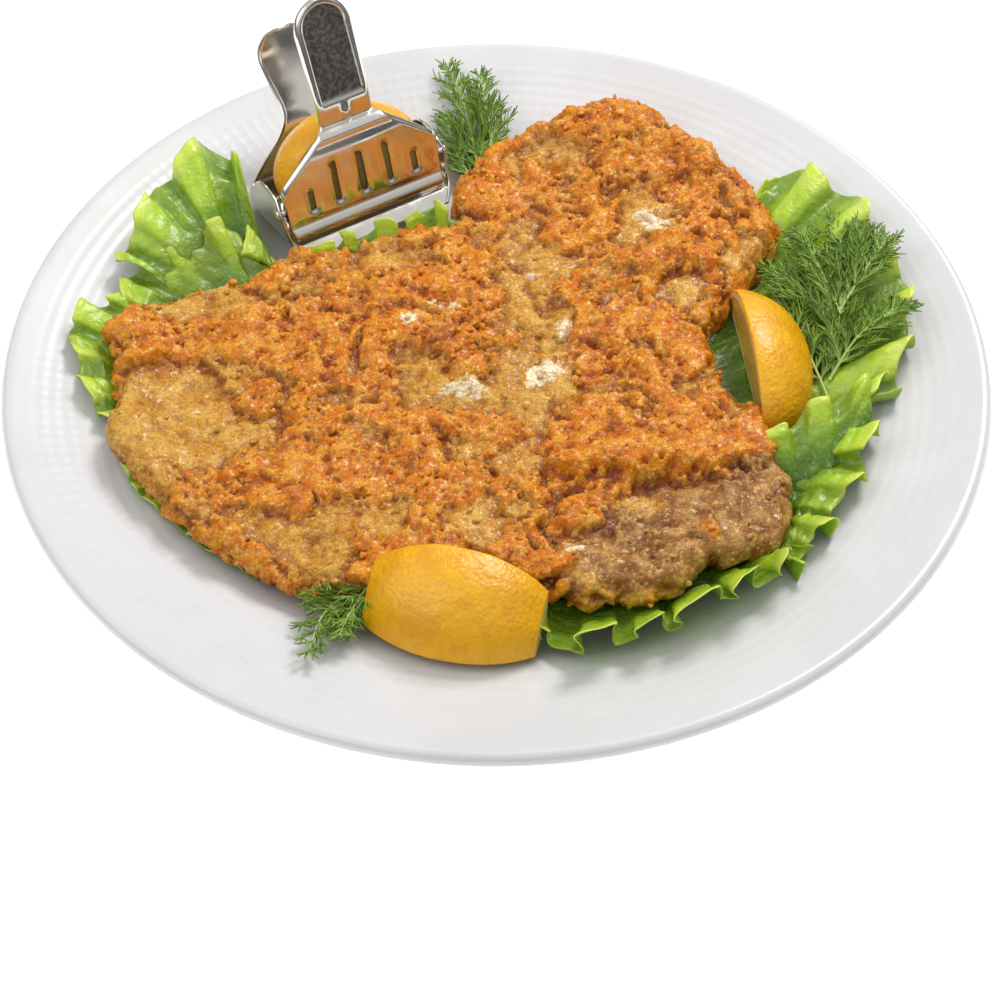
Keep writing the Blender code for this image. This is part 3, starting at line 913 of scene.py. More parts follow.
@dataclass(frozen=True)
class SteelFinish(Finish):
    """Polished sheet steel with a rougher pressed panel, coloured in patchy dark greys: partly its own
    textured finish, partly a painted dark reflection. The first mask is the panel.
    """

    bright: Colour = tint(226, 222, 214)
    # The panel's dark greys are a painted dark reflection on a textured finish.
    dark_reflection: Colour = tint(104, 100, 98)
    dark_reflection_mottle: Colour = tint(150, 146, 142)

    def make(self) -> bpy.types.Material:
        """Build the material."""
        material, sheet, shader, places = self.start()
        panel = sheet.masks()[0]
        # Painted dark reflection on the panel, in patches.
        panel_reflection = sheet.drift(self.dark_reflection, self.dark_reflection_mottle, 700.0, 0.8, places)
        sheet.feed(shader.inputs["Base Color"], sheet.mix(panel, self.bright, panel_reflection))
        polish = sheet.use(Effects.smudge(), Low=0.1, High=0.2, Scale=120.0, Places=places)
        rough = sheet.math("ADD", polish["Value"], sheet.math("MULTIPLY", panel, 0.22))
        sheet.feed(shader.inputs["Roughness"], rough)
        shader.inputs["Metallic"].default_value = 1.0
        self.grain(sheet, shader, 260.0, 0.2)
        return material


@dataclass(frozen=True)
class LettuceFinish(Finish):
    """Lettuce blade. The mesh's masks are edge, vein, depth and hollow."""

    blade: Colour = tint(166, 204, 30)
    # Darker green towards the heart edge: partly the leaf's own tone, partly painted shade where the blade
    # runs in under the food.
    heart: Colour = tint(96, 140, 16)
    edge: Colour = tint(208, 230, 84)
    vein: Colour = tint(196, 216, 128)
    drift: Colour = tint(190, 216, 54)
    shade: Colour = tint(80, 110, 40)

    def make(self) -> bpy.types.Material:
        """Build the material."""
        material, sheet, shader, places = self.start()
        edge, vein, depth, hollow = sheet.masks()
        blade = sheet.drift(self.blade, self.drift, 110.0, 0.6, places)
        # Towards the heart edge: partly the leaf's own darker tone, partly painted shade under the food.
        colour = sheet.mix(depth, blade, self.heart)
        colour = sheet.mix(edge, colour, self.edge)
        colour = sheet.mix(sheet.math("MULTIPLY", vein, 0.6), colour, self.vein)
        shaded = sheet.deepen(colour, self.shade, hollow)
        sheet.feed(shader.inputs["Base Color"], shaded)
        self.roughen(sheet, shader, (0.3, 0.5, 200.0))
        self.grain(sheet, shader, 800.0, 0.6)
        self.softness(shader, 0.35, (0.5, 1.0, 0.15), 0.0025)
        return material


@dataclass(frozen=True)
class DillFinish(Finish):
    """Dill threads. The first mask is the share of stem."""

    thread: Colour = tint(76, 114, 24)
    thread_light: Colour = tint(150, 182, 70)
    stem: Colour = tint(186, 208, 120)

    def make(self) -> bpy.types.Material:
        """Build the material."""
        material, sheet, shader, places = self.start()
        stem, light = sheet.masks()[:2]
        thread = sheet.mix(light, self.thread, self.thread_light)
        drift = sheet.drift(thread, self.thread_light, 160.0, 0.4, places)
        sheet.feed(shader.inputs["Base Color"], sheet.mix(stem, drift, self.stem))
        shader.inputs["Roughness"].default_value = 0.5
        return material


PORCELAIN = PorcelainFinish("white_porcelain", Slot.PORCELAIN, 0.35, 0.12, 0.00002)
CRUST = CrustFinish("fried_crust", Slot.CRUST, 0.4, 0.2, 0.0003)
LEMON = LemonFinish("fresh_lemon", Slot.LEMON, 0.18, 0.2, 0.00025)
STEEL = SteelFinish("polished_steel", Slot.STEEL, 0.0, 0.1, 0.00002)
LETTUCE = LettuceFinish("lettuce_blade", Slot.LETTUCE, 0.25, 0.2, 0.0003)
DILL = DillFinish("dill_thread", Slot.DILL, 0.0, 0.1, 0.0001)


# Plate


@dataclass
class Plate:
    """The round plate, with its embossed rim."""

    radius: float = 160.0
    segments: int = 648
    rim_start: float = 119.0
    rim_end: float = 152.0
    rim_steps: int = 38
    diamonds: int = 216
    diamond_length: float = 4.2
    relief: float = 0.1
    lip: tuple = ((157.4, 23.5), (158.6, 23.2), (159.4, 22.5), (160.0, 21.3), (159.8, 20.3),
                  (159.1, 19.6), (158.0, 19.0), (156.8, 18.6))
    under: tuple = ((148.0, 16.4), (140.0, 14.2), (130.0, 11.6), (120.0, 9.2), (112.0, 6.2),
                    (106.0, 3.9), (100.5, 2.6), (97.5, 2.0), (96.4, 0.5), (95.4, 0.0),
                    (92.5, 0.0), (89.6, 0.0), (88.8, 0.6), (87.5, 3.0), (60.0, 3.0), (1.0, 3.0))

    def profile(self) -> Array:
        """Return the turned profile's (radius, height) rows, from the middle to the underside."""
        floor = np.concatenate([np.linspace(1, 96, 10), np.linspace(99, self.rim_start - 1, 14)])
        rim = np.linspace(self.rim_start, self.rim_end, self.rim_steps)
        band = np.linspace(self.rim_end + 1, 156.4, 4)
        reach = np.concatenate([floor, rim, band])
        face = np.stack([reach, plate_height(reach, np.zeros_like(reach))], 1)
        return np.vstack([face, self.lip, self.under])

    def embossing(self, reach: Array, angle: Array) -> Array:
        """Return the height of the rim's diagonal diamonds at places."""
        turn = angle * self.diamonds / 2
        slant = reach * math.pi / self.diamond_length
        pattern = np.sin(turn + slant) * np.sin(turn - slant)
        fade = smoothstep(self.rim_start, self.rim_start + 4, reach)
        fade = fade * (1 - smoothstep(self.rim_end - 4, self.rim_end, reach))
        return pattern * fade * self.relief

    def build(self) -> Piece:
        """Build and dress the plate."""
        profile = self.profile()
        angle = np.arange(self.segments) / self.segments * FULL_TURN
        reach = profile[:, :1] * np.ones_like(angle)
        height = profile[:, 1:] * np.ones_like(angle)
        upper = (np.arange(len(profile)) < len(profile) - len(self.lip) - len(self.under))[:, None]
        height = height + upper * self.embossing(reach, angle[None, :])
        grid = stack(reach * np.cos(angle), reach * np.sin(angle), height)
        parts = MeshParts()
        parts.add(grid, grid_faces(len(profile), self.segments, True),
                  np.zeros((*grid.shape[:2], 4)))
        parts.close_ends(self.segments)
        piece = parts.build("plate_turned")
        PORCELAIN.dress(piece)
        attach(piece, Body.DISH.value)
        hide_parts("plate")
        return piece


# Cutlet


@dataclass(frozen=True)
class Fold:
    """A line along which the crust stands up on one side and drops on the other."""

    path: tuple
    lift: float
    reach: float
    drop: float = 0.8
    side: int = 1


@dataclass(frozen=True)
class Patch:
    """An oval patch of the cutlet's face, in millimetres."""

    x: float
    y: float
    long: float
    short: float
    turn: float = 0.0
    amount: float = 1.0

    def share(self, x: Array, y: Array) -> Array:
        """Return the patch's share at places, 1 in its middle and 0 well outside."""
        angle = math.radians(self.turn)
        dx, dy = x - self.x, y - self.y
        u = (dx * math.cos(angle) + dy * math.sin(angle)) / self.long
        v = (dy * math.cos(angle) - dx * math.sin(angle)) / self.short
        return self.amount * np.exp(-((u * u + v * v) ** 1.4))


@dataclass
class Cutlet:
    """The breaded cutlet: one closed crust with loose crumbs on it."""

    centre: tuple[float, float] = (8.0, 0.0)
    spacing: float = 0.7
    shoulder: float = 5.2
    half_thick: float = 5.2
    wrap_end: float = 0.9
    closing: tuple[float, ...] = (0.95, 0.8, 0.5, 0.2)
    flake_steps: tuple[float, float, float] = (1.3, 1.0, 0.45)
    outline: tuple = (
        (-180, 131), (-173, 130), (-165, 135), (-158, 131), (-150, 127), (-142, 122),
        (-136, 117), (-128, 114), (-121, 107), (-112, 89), (-103, 84), (-92, 88), (-85, 93),
        (-78, 101), (-74, 98), (-69, 102), (-64, 104), (-56, 99), (-50, 103), (-44, 108),
        (-38, 105), (-32, 99), (-25, 88), (-18, 80), (-12, 71), (-5, 65), (4, 61), (14, 62),
        (19, 66), (24, 72), (28, 82), (32, 94), (36, 107), (44, 111), (50, 114), (58, 118),
        (64, 121), (70, 124), (75, 126), (80, 120), (86, 113), (93, 106), (99, 97), (103, 91),
        (105, 83), (108, 69), (112, 66), (118, 72), (125, 76), (135, 79), (143, 86), (148, 91),
        (153, 90), (158, 100), (163, 116), (169, 127), (175, 134), (180, 131),
    )
    folds: tuple[Fold, ...] = (
        Fold(((-26, 66), (-10, 53), (5, 44), (10, 35), (14, 20), (17, 3)), 1.5, 10.0, 1.4, -1),
        Fold(((12, -46), (24, -50), (36, -49), (44, -53), (56, -47), (70, -48), (88, -38)),
             4.2, 13.0, 2.1),
        Fold(((0, -64), (14, -69), (29, -73)), 2.0, 4.0, 0.6),
        Fold(((-72, 22), (-62, 8), (-52, -8)), 1.8, 8.0, 0.8, -1),
        Fold(((-96, 2), (-84, -10), (-80, -26)), 1.4, 10.0, 0.9),
        Fold(((-88, -48), (-76, -56), (-64, -60)), 1.5, 8.0, 0.9),
        Fold(((38, 46), (52, 40), (64, 44), (76, 40)), 1.8, 7.0, 0.7),
        Fold(((18, 92), (28, 84), (40, 86), (50, 78)), 1.6, 8.0, 0.8),
        Fold(((-40, -30), (-26, -36), (-14, -30)), 1.5, 8.0, 0.8),
        Fold(((24, 8), (36, 0), (50, -4)), 1.7, 7.0, 0.8),
    )
    browned: tuple[Patch, ...] = (
        Patch(-75, 6, 22, 15, 10), Patch(-64, -46, 30, 16, 70), Patch(-20, 28, 34, 14, 12),
        Patch(3, 83, 17, 12, 30), Patch(44, 112, 24, 10), Patch(66, 86, 20, 15, -40),
        Patch(66, -38, 28, 13, 10, 1.8), Patch(-32, -48, 18, 14), Patch(-44, 10, 20, 12),
        Patch(46, 20, 16, 12, -30), Patch(70, 52, 12, 16, 0, 0.8), Patch(36, -47, 24, 10, 2, 1.8),
        Patch(-112, 8, 8, 10, 0, 0.7), Patch(60, 0, 12, 10, 0, 0.7), Patch(30, 62, 16, 10, 0, 0.6),
    )
    bare: tuple[Patch, ...] = (
        Patch(-104, -32, 26, 15, 70, 1.5), Patch(-69, -73, 15, 8, -25, 1.3),
        Patch(-98, 25, 18, 7, 5, 1.2), Patch(13, 30, 24, 8, -75, 1.2), Patch(20, 99, 9, 6, 0, 1.0),
        Patch(60, 32, 8, 9, 0, 1.0), Patch(4, -14, 26, 8, 5, 1.1), Patch(-30, 2, 10, 6, 0, 0.7),
        Patch(52, 66, 10, 8, -20, 1.1), Patch(-44, -66, 10, 7, 0, 0.5),
        Patch(-6, -40, 9, 7, 0, 0.5),
    )
    creams: tuple[Patch, ...] = (
        Patch(-19, 24, 7, 2.6), Patch(-29, 13, 3.5, 5), Patch(-10, -13, 10, 5, -10),
        Patch(15, -6, 11, 7, 30), Patch(12, 41, 4, 3), Patch(21, 13, 4, 6),
        Patch(54, 64, 9, 6, -40), Patch(-2, 42, 2.5, 2), Patch(20, -58, 3, 2.5),
        Patch(24, -80, 5, 3.5),
    )
    meaty: tuple[Patch, ...] = (
        Patch(62, -72, 40, 22, 25, 1.3), Patch(85, -58, 14, 20, 0, 1.0),
        Patch(42, -84, 22, 16, 0, 0.8),
    )
    lumps: tuple[Patch, ...] = (
        Patch(3, 84, 15, 11, 20, 2.2), Patch(25, -84, 8, 5, -60, 3.0),
        Patch(45, -50, 6, 4, 0, 2.4), Patch(-50, 40, 24, 10, 10, 1.6), Patch(82, -66, 12, 18, 0, 2.0),
        Patch(-108, -22, 14, 24, 0, 1.6), Patch(50, 100, 20, 10, -20, 1.6),
        Patch(-60, -30, 18, 14, 0, 1.5),
    )
    pits: tuple[Patch, ...] = (
        Patch(-2, -48, 2.2, 1.6, 0, 2.5), Patch(-17, -5, 2.0, 1.6, 0, 2.2),
        Patch(34, 92, 2.4, 1.8, 0, 2.2), Patch(50, 58, 2.0, 1.6, 0, 1.8),
        Patch(30, -98, 3.0, 2.0, 0, 2.0),
    )

    def reach(self, angle: Array) -> Array:
        """Return the outline's radius at angles in radians."""
        turns = np.array([row[0] for row in self.outline], float)
        radii = np.array([row[1] for row in self.outline], float)
        degrees = np.degrees(angle)
        index = np.clip(np.searchsorted(turns, degrees, side="right") - 1, 0, len(turns) - 2)
        part = (degrees - turns[index]) / (turns[index + 1] - turns[index])
        part = np.clip(part, 0, 1)
        part = part * part * (3 - 2 * part)
        return radii[index] + (radii[index + 1] - radii[index]) * part

    def bottom(self, x: Array, y: Array) -> Array:
        """Return the height of the underside at places."""
        return plate_height(x, y) + 0.6 + 4.4 * smoothstep(40, 90, np.hypot(x, y))

    def top(self, x: Array, y: Array) -> Array:
        """Return the smooth height of the face at places."""
        thick = 15 - 5.5 * smoothstep(20, 105, np.hypot(x, y))
        waves = np.sin(x * 0.095 + 1.3) * np.cos(y * 0.11 + 0.4)
        return self.bottom(x, y) + thick + 0.7 * waves

    def relief(self, x: Array, y: Array) -> dict[str, Array]:
        """Work out the crust at places.

        Args:
            x: First coordinates on the unrolled face.
            y: Second coordinates on the unrolled face.

        Returns:
            The relief's height in millimetres and the shares of crust, toast, cream and meat.
        """
        noise = Noise(7)
        flat = stack(x, y)
        drift_x = noise.layered(flat, 26, 3, 0.5, 40)
        drift_y = noise.layered(flat, 26, 3, 0.5, 60)
        warped = stack(x + 7 * drift_x, y + 7 * drift_y)
        wobble = noise.layered(flat, 7, 3, 0.6, 80)
        wavy = noise.layered(flat, 10, 3, 0.6, 90)
        height = 1.5 * noise.smooth(flat, 31, 1) + 1.7 * noise.smooth(warped, 13, 2)
        for lump in self.lumps:
            height = height + lump.share(x, y)
        for fold in self.folds:
            _, signed, along = path_distance(
                x + 3.4 * wobble + 2.4 * drift_x, y + 4.2 * wavy + 2.4 * drift_y, fold.path
            )
            signed = signed * fold.side + 0.9 * wobble
            ends = smoothstep(0.0, 0.12, along) * (1 - smoothstep(0.88, 1.0, along))
            high = smoothstep(-fold.drop, fold.drop, signed)
            away = np.exp(-np.maximum(signed, 0) / fold.reach)
            near = np.exp(-np.maximum(-signed, 0) / fold.reach)
            height = height + fold.lift * ends * (high * away - 0.35 * (1 - high) * near)
        crust = 0.02 + 0.85 * noise.layered(warped, 21, 4, 0.6, 3)
        crust = crust + 0.26 * noise.layered(flat, 4.4, 3, 0.7, 51)
        crust = crust + sum(0.6 * patch.share(x, y) for patch in self.browned)
        crust = crust - sum(0.85 * patch.share(x, y) for patch in self.bare)
        meat = sum(patch.share(x, y) for patch in self.meaty)
        _, ridge, _ = path_distance(x, y, self.folds[1].path)
        meat = np.clip(meat, 0, 1.4) * (1 - smoothstep(-2.0, 1.0, ridge + wobble))
        meat = np.clip(meat + 1.1 * noise.layered(warped, 13, 4, 0.6, 12) * smoothstep(0.0, 0.3, meat), 0, 1)
        crust = crust - 0.75 * meat
        flake = smoothstep(-0.02, 0.1, crust)
        second = crust + 0.8 * noise.layered(warped, 8, 3, 0.6, 5) - 0.35
        second = smoothstep(0.0, 0.1, second)
        third = smoothstep(0.05, 0.2, noise.layered(warped, 6.4, 3, 0.6, 6) + 0.25 * flake - 0.1)
        low, middle, top = self.flake_steps
        height = height + low * flake + middle * second + top * third * (1 - 0.3 * meat)
        near, _, own = noise.cells(stack(x + 0.8 * wobble, y - 0.8 * wobble), 2.7, 4)
        grit, _, grain = noise.cells(stack(x, y), 1.5, 9)
        rough = 0.55 + 0.45 * smoothstep(-0.3, 0.4, noise.smooth(flat, 9, 14))
        lively = rough * (0.7 + 0.3 * flake) * (1 - 0.2 * meat)
        height = height + (0.2 + 0.6 * own**2) * lively * (1 - np.minimum(near, 1) ** 2)
        height = height + (0.15 + 0.4 * grain) * lively * (1 - np.minimum(grit, 1) ** 2)
        height = height + 0.55 * noise.layered(flat, 4.2, 3, 0.6, 21)
        cracks = np.abs(noise.layered(warped, 11, 3, 0.6, 25))
        height = height - 0.5 * (1 - smoothstep(0.0, 0.08, cracks)) * flake
        for pit in self.pits:
            height = height - pit.share(x + 0.8 * wobble, y + 0.8 * drift_x)
        toast = 0.7 * noise.layered(warped, 12, 4, 0.65, 31) + 0.15 * second
        toast = (toast + 0.2 * (own - 0.5) + 0.14 * (grain - 0.5)) * smoothstep(-0.1, 0.4, crust)
        crust = crust + 0.1 * (grain - 0.5) + 0.14 * (own - 0.5)
        cream = sum(patch.share(x + 2 * drift_x, y + 2 * drift_y) for patch in self.creams)
        cream = cream * (0.75 + 0.6 * noise.layered(warped, 5, 3, 0.6, 33))
        return {
            "height": height,
            "crust": np.clip(0.5 + crust * 1.3, 0, 1),
            "toast": np.clip(toast, 0, 1),
            "cream": np.clip(cream, 0, 1),
            "meat": meat,
            "flake": flake,
        }

    def lattice(self) -> dict[str, Array]:
        """Place the crust's lattice in space.

        Returns:
            Arrays over the whole lattice: places, masks (crust, toast, cream and hollow, the painted
            shade in hollows and where the edge turns under), meat, beyond (how far past the end of
            the wrapped edge each lattice place lies), bend and the lattice's x and y.
        """
        x, y = np.meshgrid(
            np.arange(-146, 116, self.spacing), np.arange(-124, 142, self.spacing), indexing="ij"
        )
        dx, dy = x - self.centre[0], y - self.centre[1]
        radius, angle = np.hypot(dx, dy), np.arctan2(dy, dx)
        step = math.radians(1.6)

        def wrapped(turn: Array) -> Array:
            """Return the outline's radius at angles past the half turn."""
            return self.reach((turn + math.pi) % FULL_TURN - math.pi)

        edge = (wrapped(angle - step) + 2 * wrapped(angle) + wrapped(angle + step)) / 4
        slope = np.clip((wrapped(angle + step) - wrapped(angle - step)) / (2 * step) / edge, -1.6, 1.6)
        slant = np.sqrt(1 + slope**2)
        start = edge - slant * self.shoulder
        turn = np.linspace(0, math.pi * self.wrap_end, 60)
        out, down = self.shoulder * np.sin(turn), self.half_thick * (1 - np.cos(turn))
        length = np.concatenate([[0], np.cumsum(np.hypot(np.diff(out), np.diff(down)))])
        beyond = (radius - start) / slant - length[-1]
        past = np.clip((radius - start) / slant, 0, length[-1])
        bend = np.interp(past, length, turn)
        inner = np.minimum(radius, start)
        cos, sin = np.cos(angle), np.sin(angle)
        foot_x, foot_y = self.centre[0] + inner * cos, self.centre[1] + inner * sin
        reach = inner + slant * np.interp(past, length, out)
        real_x, real_y = self.centre[0] + reach * cos, self.centre[1] + reach * sin
        face = self.top(foot_x, foot_y)
        thick = (face - self.bottom(foot_x, foot_y)) / 2 / self.half_thick
        rise = face - thick * np.interp(past, length, down)
        out_x, out_y = (cos + slope * sin) / slant, (sin - slope * cos) / slant
        normal = stack(np.sin(bend) * out_x, np.sin(bend) * out_y, np.cos(bend))
        crust = self.relief(x, y)
        height = crust["height"] * (1 - 0.35 * smoothstep(0.5, 1.0, bend / math.pi))
        flaky = soften(crust["flake"], 2)
        lean_x, lean_y = np.gradient(flaky, self.spacing)
        overhang = 1.1 * (1 - smoothstep(0.3, 1.2, bend))
        places = stack(real_x, real_y, rise) + normal * height[..., None]
        places = places - stack(lean_x * overhang, lean_y * overhang)
        # Painted shade: the hollow mask darkens the relief's hollows and, more strongly, the edge where it
        # turns under.
        hollow = soften(height, 4) - height
        hollow = np.clip(hollow * 0.7 + 0.2 * (soften(height, 12) - height), -0.2, 1)
        hollow = np.clip(hollow + 0.5 * smoothstep(0.35, 0.8, bend / math.pi), 0, 1)
        masks = np.stack([crust["crust"], crust["toast"], crust["cream"], hollow], -1)
        return {"places": places, "masks": masks, "meat": crust["meat"], "beyond": beyond,
                "bend": bend, "x": x[:, 0], "y": y[0]}

    @staticmethod
    def open_edges(faces: Array, count: int) -> Array:
        """Return the edges that only one face uses, in the order in which it runs along them.

        Args:
            faces: The faces' corners.
            count: How many places the faces share.

        Returns:
            The start and end of every open edge.
        """
        runs = np.stack([faces, np.roll(faces, -1, axis=1)], -1).reshape(-1, 2)
        there = runs[:, 0] * count + runs[:, 1]
        back = runs[:, 1] * count + runs[:, 0]
        return runs[~np.isin(there, back)]

    def build_crust(self) -> Piece:
        """Build the closed crust with its underside and dress it."""
        self.field = self.lattice()
        rows, columns = self.field["beyond"].shape
        inside = (self.field["beyond"] < 0).ravel()
        faces = grid_faces(rows, columns)
        kept = faces[inside[faces].any(axis=1)]
        used, faces = np.unique(kept, return_inverse=True)
        faces = faces.reshape(-1, 4)
        places = self.field["places"].reshape(-1, 3)[used]
        masks = self.field["masks"].reshape(-1, 4)[used]
        meat = self.field["meat"].ravel()[used]
        parts = MeshParts()
        parts.add(places, faces, masks)
        rim = self.open_edges(faces, len(places))
        edge, slots = np.unique(rim, return_inverse=True)
        slots = slots.reshape(-1, 2)
        last = edge
        middle = np.array([*self.centre, 0.0])
        for share in self.closing:
            ring = middle + (places[edge] - middle) * share
            ring[:, 2] = self.bottom(ring[:, 0], ring[:, 1])
            first = parts.total
            parts.add(ring, np.zeros((0, 4), int), masks[edge])
            following = first + np.arange(len(edge))
            parts.faces.append(
                np.stack([last[slots[:, 1]], last[slots[:, 0]], following[slots[:, 0]],
                          following[slots[:, 1]]], -1)
            )
            last = following
        middle[2] = float(self.bottom(middle[:1], middle[1:2])[0])
        tip = parts.total
        parts.add(middle[None], np.zeros((0, 4), int), masks[:1])
        parts.faces.append(
            np.stack([last[slots[:, 1]], last[slots[:, 0]], np.full(len(slots), tip)], -1)
        )
        piece = parts.build("cutlet_crust")
        spare = parts.total - len(meat)
        mark_meat(piece, np.pad(meat, (0, spare)))
        CRUST.dress(piece)
        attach(piece, Body.DISH.value)
        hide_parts("schnitzel")
        return piece

    def surface(self, x: float, y: float) -> tuple[Array, Array, Array, float]:
        """Return the crust's place, normal, masks and meat share near a lattice place."""
        i = int(np.clip(round((x - self.field["x"][0]) / self.spacing), 2, len(self.field["x"]) - 3))
        j = int(np.clip(round((y - self.field["y"][0]) / self.spacing), 2, len(self.field["y"]) - 3))
        places = self.field["places"]
        normal = np.cross(places[i + 2, j] - places[i - 2, j], places[i, j + 2] - places[i, j - 2])
        normal = normal / max(np.linalg.norm(normal), 1e-9)
        return places[i, j], normal, self.field["masks"][i, j], float(self.field["meat"][i, j])

    def scatter(self, count: int, seed: int, margin: float) -> list[tuple[float, float]]:
        """Return repeatable places on the crusty parts of the face.

        Args:
            count: How many places.
            seed: The draw's seed.
            margin: How far past the outline's shoulder a place may lie.

        Returns:
            The places' coordinates on the unrolled face.
        """
        draw = np.random.default_rng(seed)
        found: list[tuple[float, float]] = []
        while len(found) < count:
            x, y, chance = draw.uniform(-130, 108), draw.uniform(-112, 130), draw.uniform()
            i = int((x - self.field["x"][0]) / self.spacing)
            j = int((y - self.field["y"][0]) / self.spacing)
            bend = self.field["bend"][i, j]
            if self.field["beyond"][i, j] < 0 and bend < margin:
                if chance < 0.25 + 0.75 * self.field["masks"][i, j, 0]:
                    found.append((x, y))
        return found

    def build_crumbs(self, count: int = 750) -> Piece:
        """Build the loose crumbs that stick to the crust."""
        bm = bmesh.new()
        bmesh.ops.create_icosphere(bm, subdivisions=2, radius=1.0)
        ball = np.array([vert.co[:] for vert in bm.verts])
        faces = np.array([[vert.index for vert in face.verts] for face in bm.faces])
        bm.free()
        draw = np.random.default_rng(11)
        noise = Noise(23)
        parts = MeshParts()
        meats = []
        for index, (x, y) in enumerate(self.scatter(count, 5, 1.7)):
            place, normal, masks, meat = self.surface(x, y)
            size = draw.uniform(0.45, 1.5) * np.array([1.0, draw.uniform(0.6, 1.0), 0.6])
            lumpy = ball * (1 + 0.4 * noise.smooth(ball + index * 3.7, 0.9))[:, None]
            turn = draw.uniform(0, FULL_TURN)
            spin = np.array([[math.cos(turn), -math.sin(turn), 0],
                             [math.sin(turn), math.cos(turn), 0], [0, 0, 1]])
            shape = (lumpy * size) @ spin.T
            parts.add(place + normal * 0.1 + shape, faces,
                      np.tile(masks + np.array([0.1, 0.1, 0, 0]), (len(ball), 1)))
            meats.append(np.full(len(ball), meat))
        piece = parts.build("cutlet_crumbs")
        mark_meat(piece, np.concatenate(meats))
        CRUST.dress(piece)
        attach(piece, Body.DISH.value)
        return piece

    def build(self) -> None:
        """Build every piece of the cutlet."""
        LOG.info("crust %d faces", len(self.build_crust().data.polygons))
        LOG.info("crumbs %d faces", len(self.build_crumbs().data.polygons))


# Lemons


@dataclass
class LemonWedge:
    """A quarter of a lemon lying on one cut face."""

    node: str
    name: str
    place: tuple[float, float, float]
    yaw: float
    tilt: float
    opening: float
    radius: float
    trim: float
    half_length: float = 33.0
    stations: int = 96
    face_steps: int = 30
    peel_steps: int = 70
    cap_rings: int = 10
    peel_depth: float = 1.1
    pith_depth: float = 3.6
    seed: int = 3

    def section_radius(self, x: Array) -> Array:
        """Return the peel's radius at places along the core edge."""
        return self.radius * np.sqrt(np.maximum(1 - (x / self.half_length) ** 2, 0))

    def build(self) -> Piece:
        """Build and dress the wedge."""
        noise = Noise(self.seed)
        end = min(self.trim, self.half_length * 0.9995)
        x = end * np.sin(np.linspace(-math.pi / 2, math.pi / 2, self.stations))
        reach = self.section_radius(x)
        opening = math.radians(self.opening)
        out = np.linspace(0.02, 1, self.face_steps)
        share = np.concatenate([out, np.ones(self.peel_steps), out[::-1]])
        turn = np.concatenate(
            [np.zeros(self.face_steps), np.linspace(0, opening, self.peel_steps + 2)[1:-1],
             np.full(self.face_steps, opening)]
        )
        radius = reach[:, None] * share[None, :]
        angle = np.broadcast_to(turn, radius.shape)
        along = np.broadcast_to(x[:, None], radius.shape)
        skin = (share > 0.999)[None, :] * np.ones(radius.shape)
        depth = (reach[:, None] - radius) * (1 - skin)
        sample = stack(along, radius * np.cos(angle), radius * np.sin(angle))
        pore, _, _ = noise.cells(sample, 1.9, 2, flat=False)
        dimples = -0.24 * (1 - smoothstep(0.12, 0.5, pore)) + 0.5 * noise.smooth(sample, 13)
        dimples = dimples + 0.1 * noise.smooth(sample, 2.4, 4)
        radius = radius + skin * dimples * smoothstep(0, 5, reach)[:, None]
        flesh = smoothstep(self.pith_depth - 0.4, self.pith_depth + 0.4, depth)
        flesh = flesh * smoothstep(1.2, 2.2, radius)
        cell, gap, own = noise.cells(sample * np.array([0.5, 1, 1]), 1.7, 6, flat=False)
        sink = flesh * (0.45 - 0.35 * (1 - cell) + 0.12 * noise.smooth(sample, 4, 8))
        face = 1 - skin
        first = (np.arange(len(share)) < self.face_steps)[None, :]
        inward = np.where(first, 1.0, -1.0) * face * sink
        py, pz = -radius * np.cos(angle), radius * np.sin(angle)
        py = py + inward * np.where(first, 0, np.sin(opening))
        pz = pz + inward * np.where(first, 1, np.cos(opening))
        grid = stack(along, py, pz)
        for _ in range(2):
            grid = 0.5 * grid + 0.25 * (np.roll(grid, 1, 1) + np.roll(grid, -1, 1))
        peel = smoothstep(-self.peel_depth - 0.3, -self.peel_depth + 0.3, -depth)
        pith = (1 - flesh) * (1 - peel)
        tone = np.clip(0.2 + 0.5 * own + 0.6 * (1 - smoothstep(0.0, 0.18, gap - cell)), 0, 1)
        # The fourth mask is painted shade in the peel's pores.
        masks = np.stack([peel, pith, tone, 0.16 * smoothstep(0.5, 0.95, 1 - pore) * skin], -1)
        rings, shades = [grid], [masks]
        for row, before in ((0, True), (-1, False)):
            centre = grid[row].mean(axis=0)
            shrink = np.linspace(1, 0.02, self.cap_rings + 1)[1:]
            cap = centre + (grid[row] - centre)[None] * shrink[:, None, None]
            away = np.linalg.norm(grid[row] - centre, axis=1)[None] * (1 - shrink[:, None])
            on_skin = np.broadcast_to(skin[row], away.shape)
            rind = on_skin * (1 - smoothstep(0.9, 1.5, away))
            cap_pith = np.clip((1 - smoothstep(4.4, 5.2, away)) * on_skin + 0.25, 0, 1) * (1 - rind)
            cap_masks = np.stack(
                [rind, cap_pith, np.broadcast_to(tone[row], away.shape), np.zeros(away.shape)], -1
            )
            if before:
                rings.insert(0, cap[::-1])
                shades.insert(0, cap_masks[::-1])
            else:
                rings.append(cap)
                shades.append(cap_masks)
        grid, masks = np.concatenate(rings), np.concatenate(shades)
        loop = grid.shape[1]
        parts = MeshParts()
        faces = grid_faces(len(grid), loop, True)
        matrix = Matrix.Translation(self.place) @ Matrix.Rotation(math.radians(self.yaw), 4, "Z")
        matrix = matrix @ Matrix.Rotation(-math.radians(self.tilt), 4, "X")
        turned = grid.reshape(-1, 3) @ np.array(matrix.to_3x3()).T + np.array(self.place)
        parts.add(turned, faces, masks)
        parts.close_ends(loop)
        piece = parts.build(self.name)
        LEMON.dress(piece)
        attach(piece, Body.DISH.value)
        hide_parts(self.node)
        return piece


# Lemon squeezer


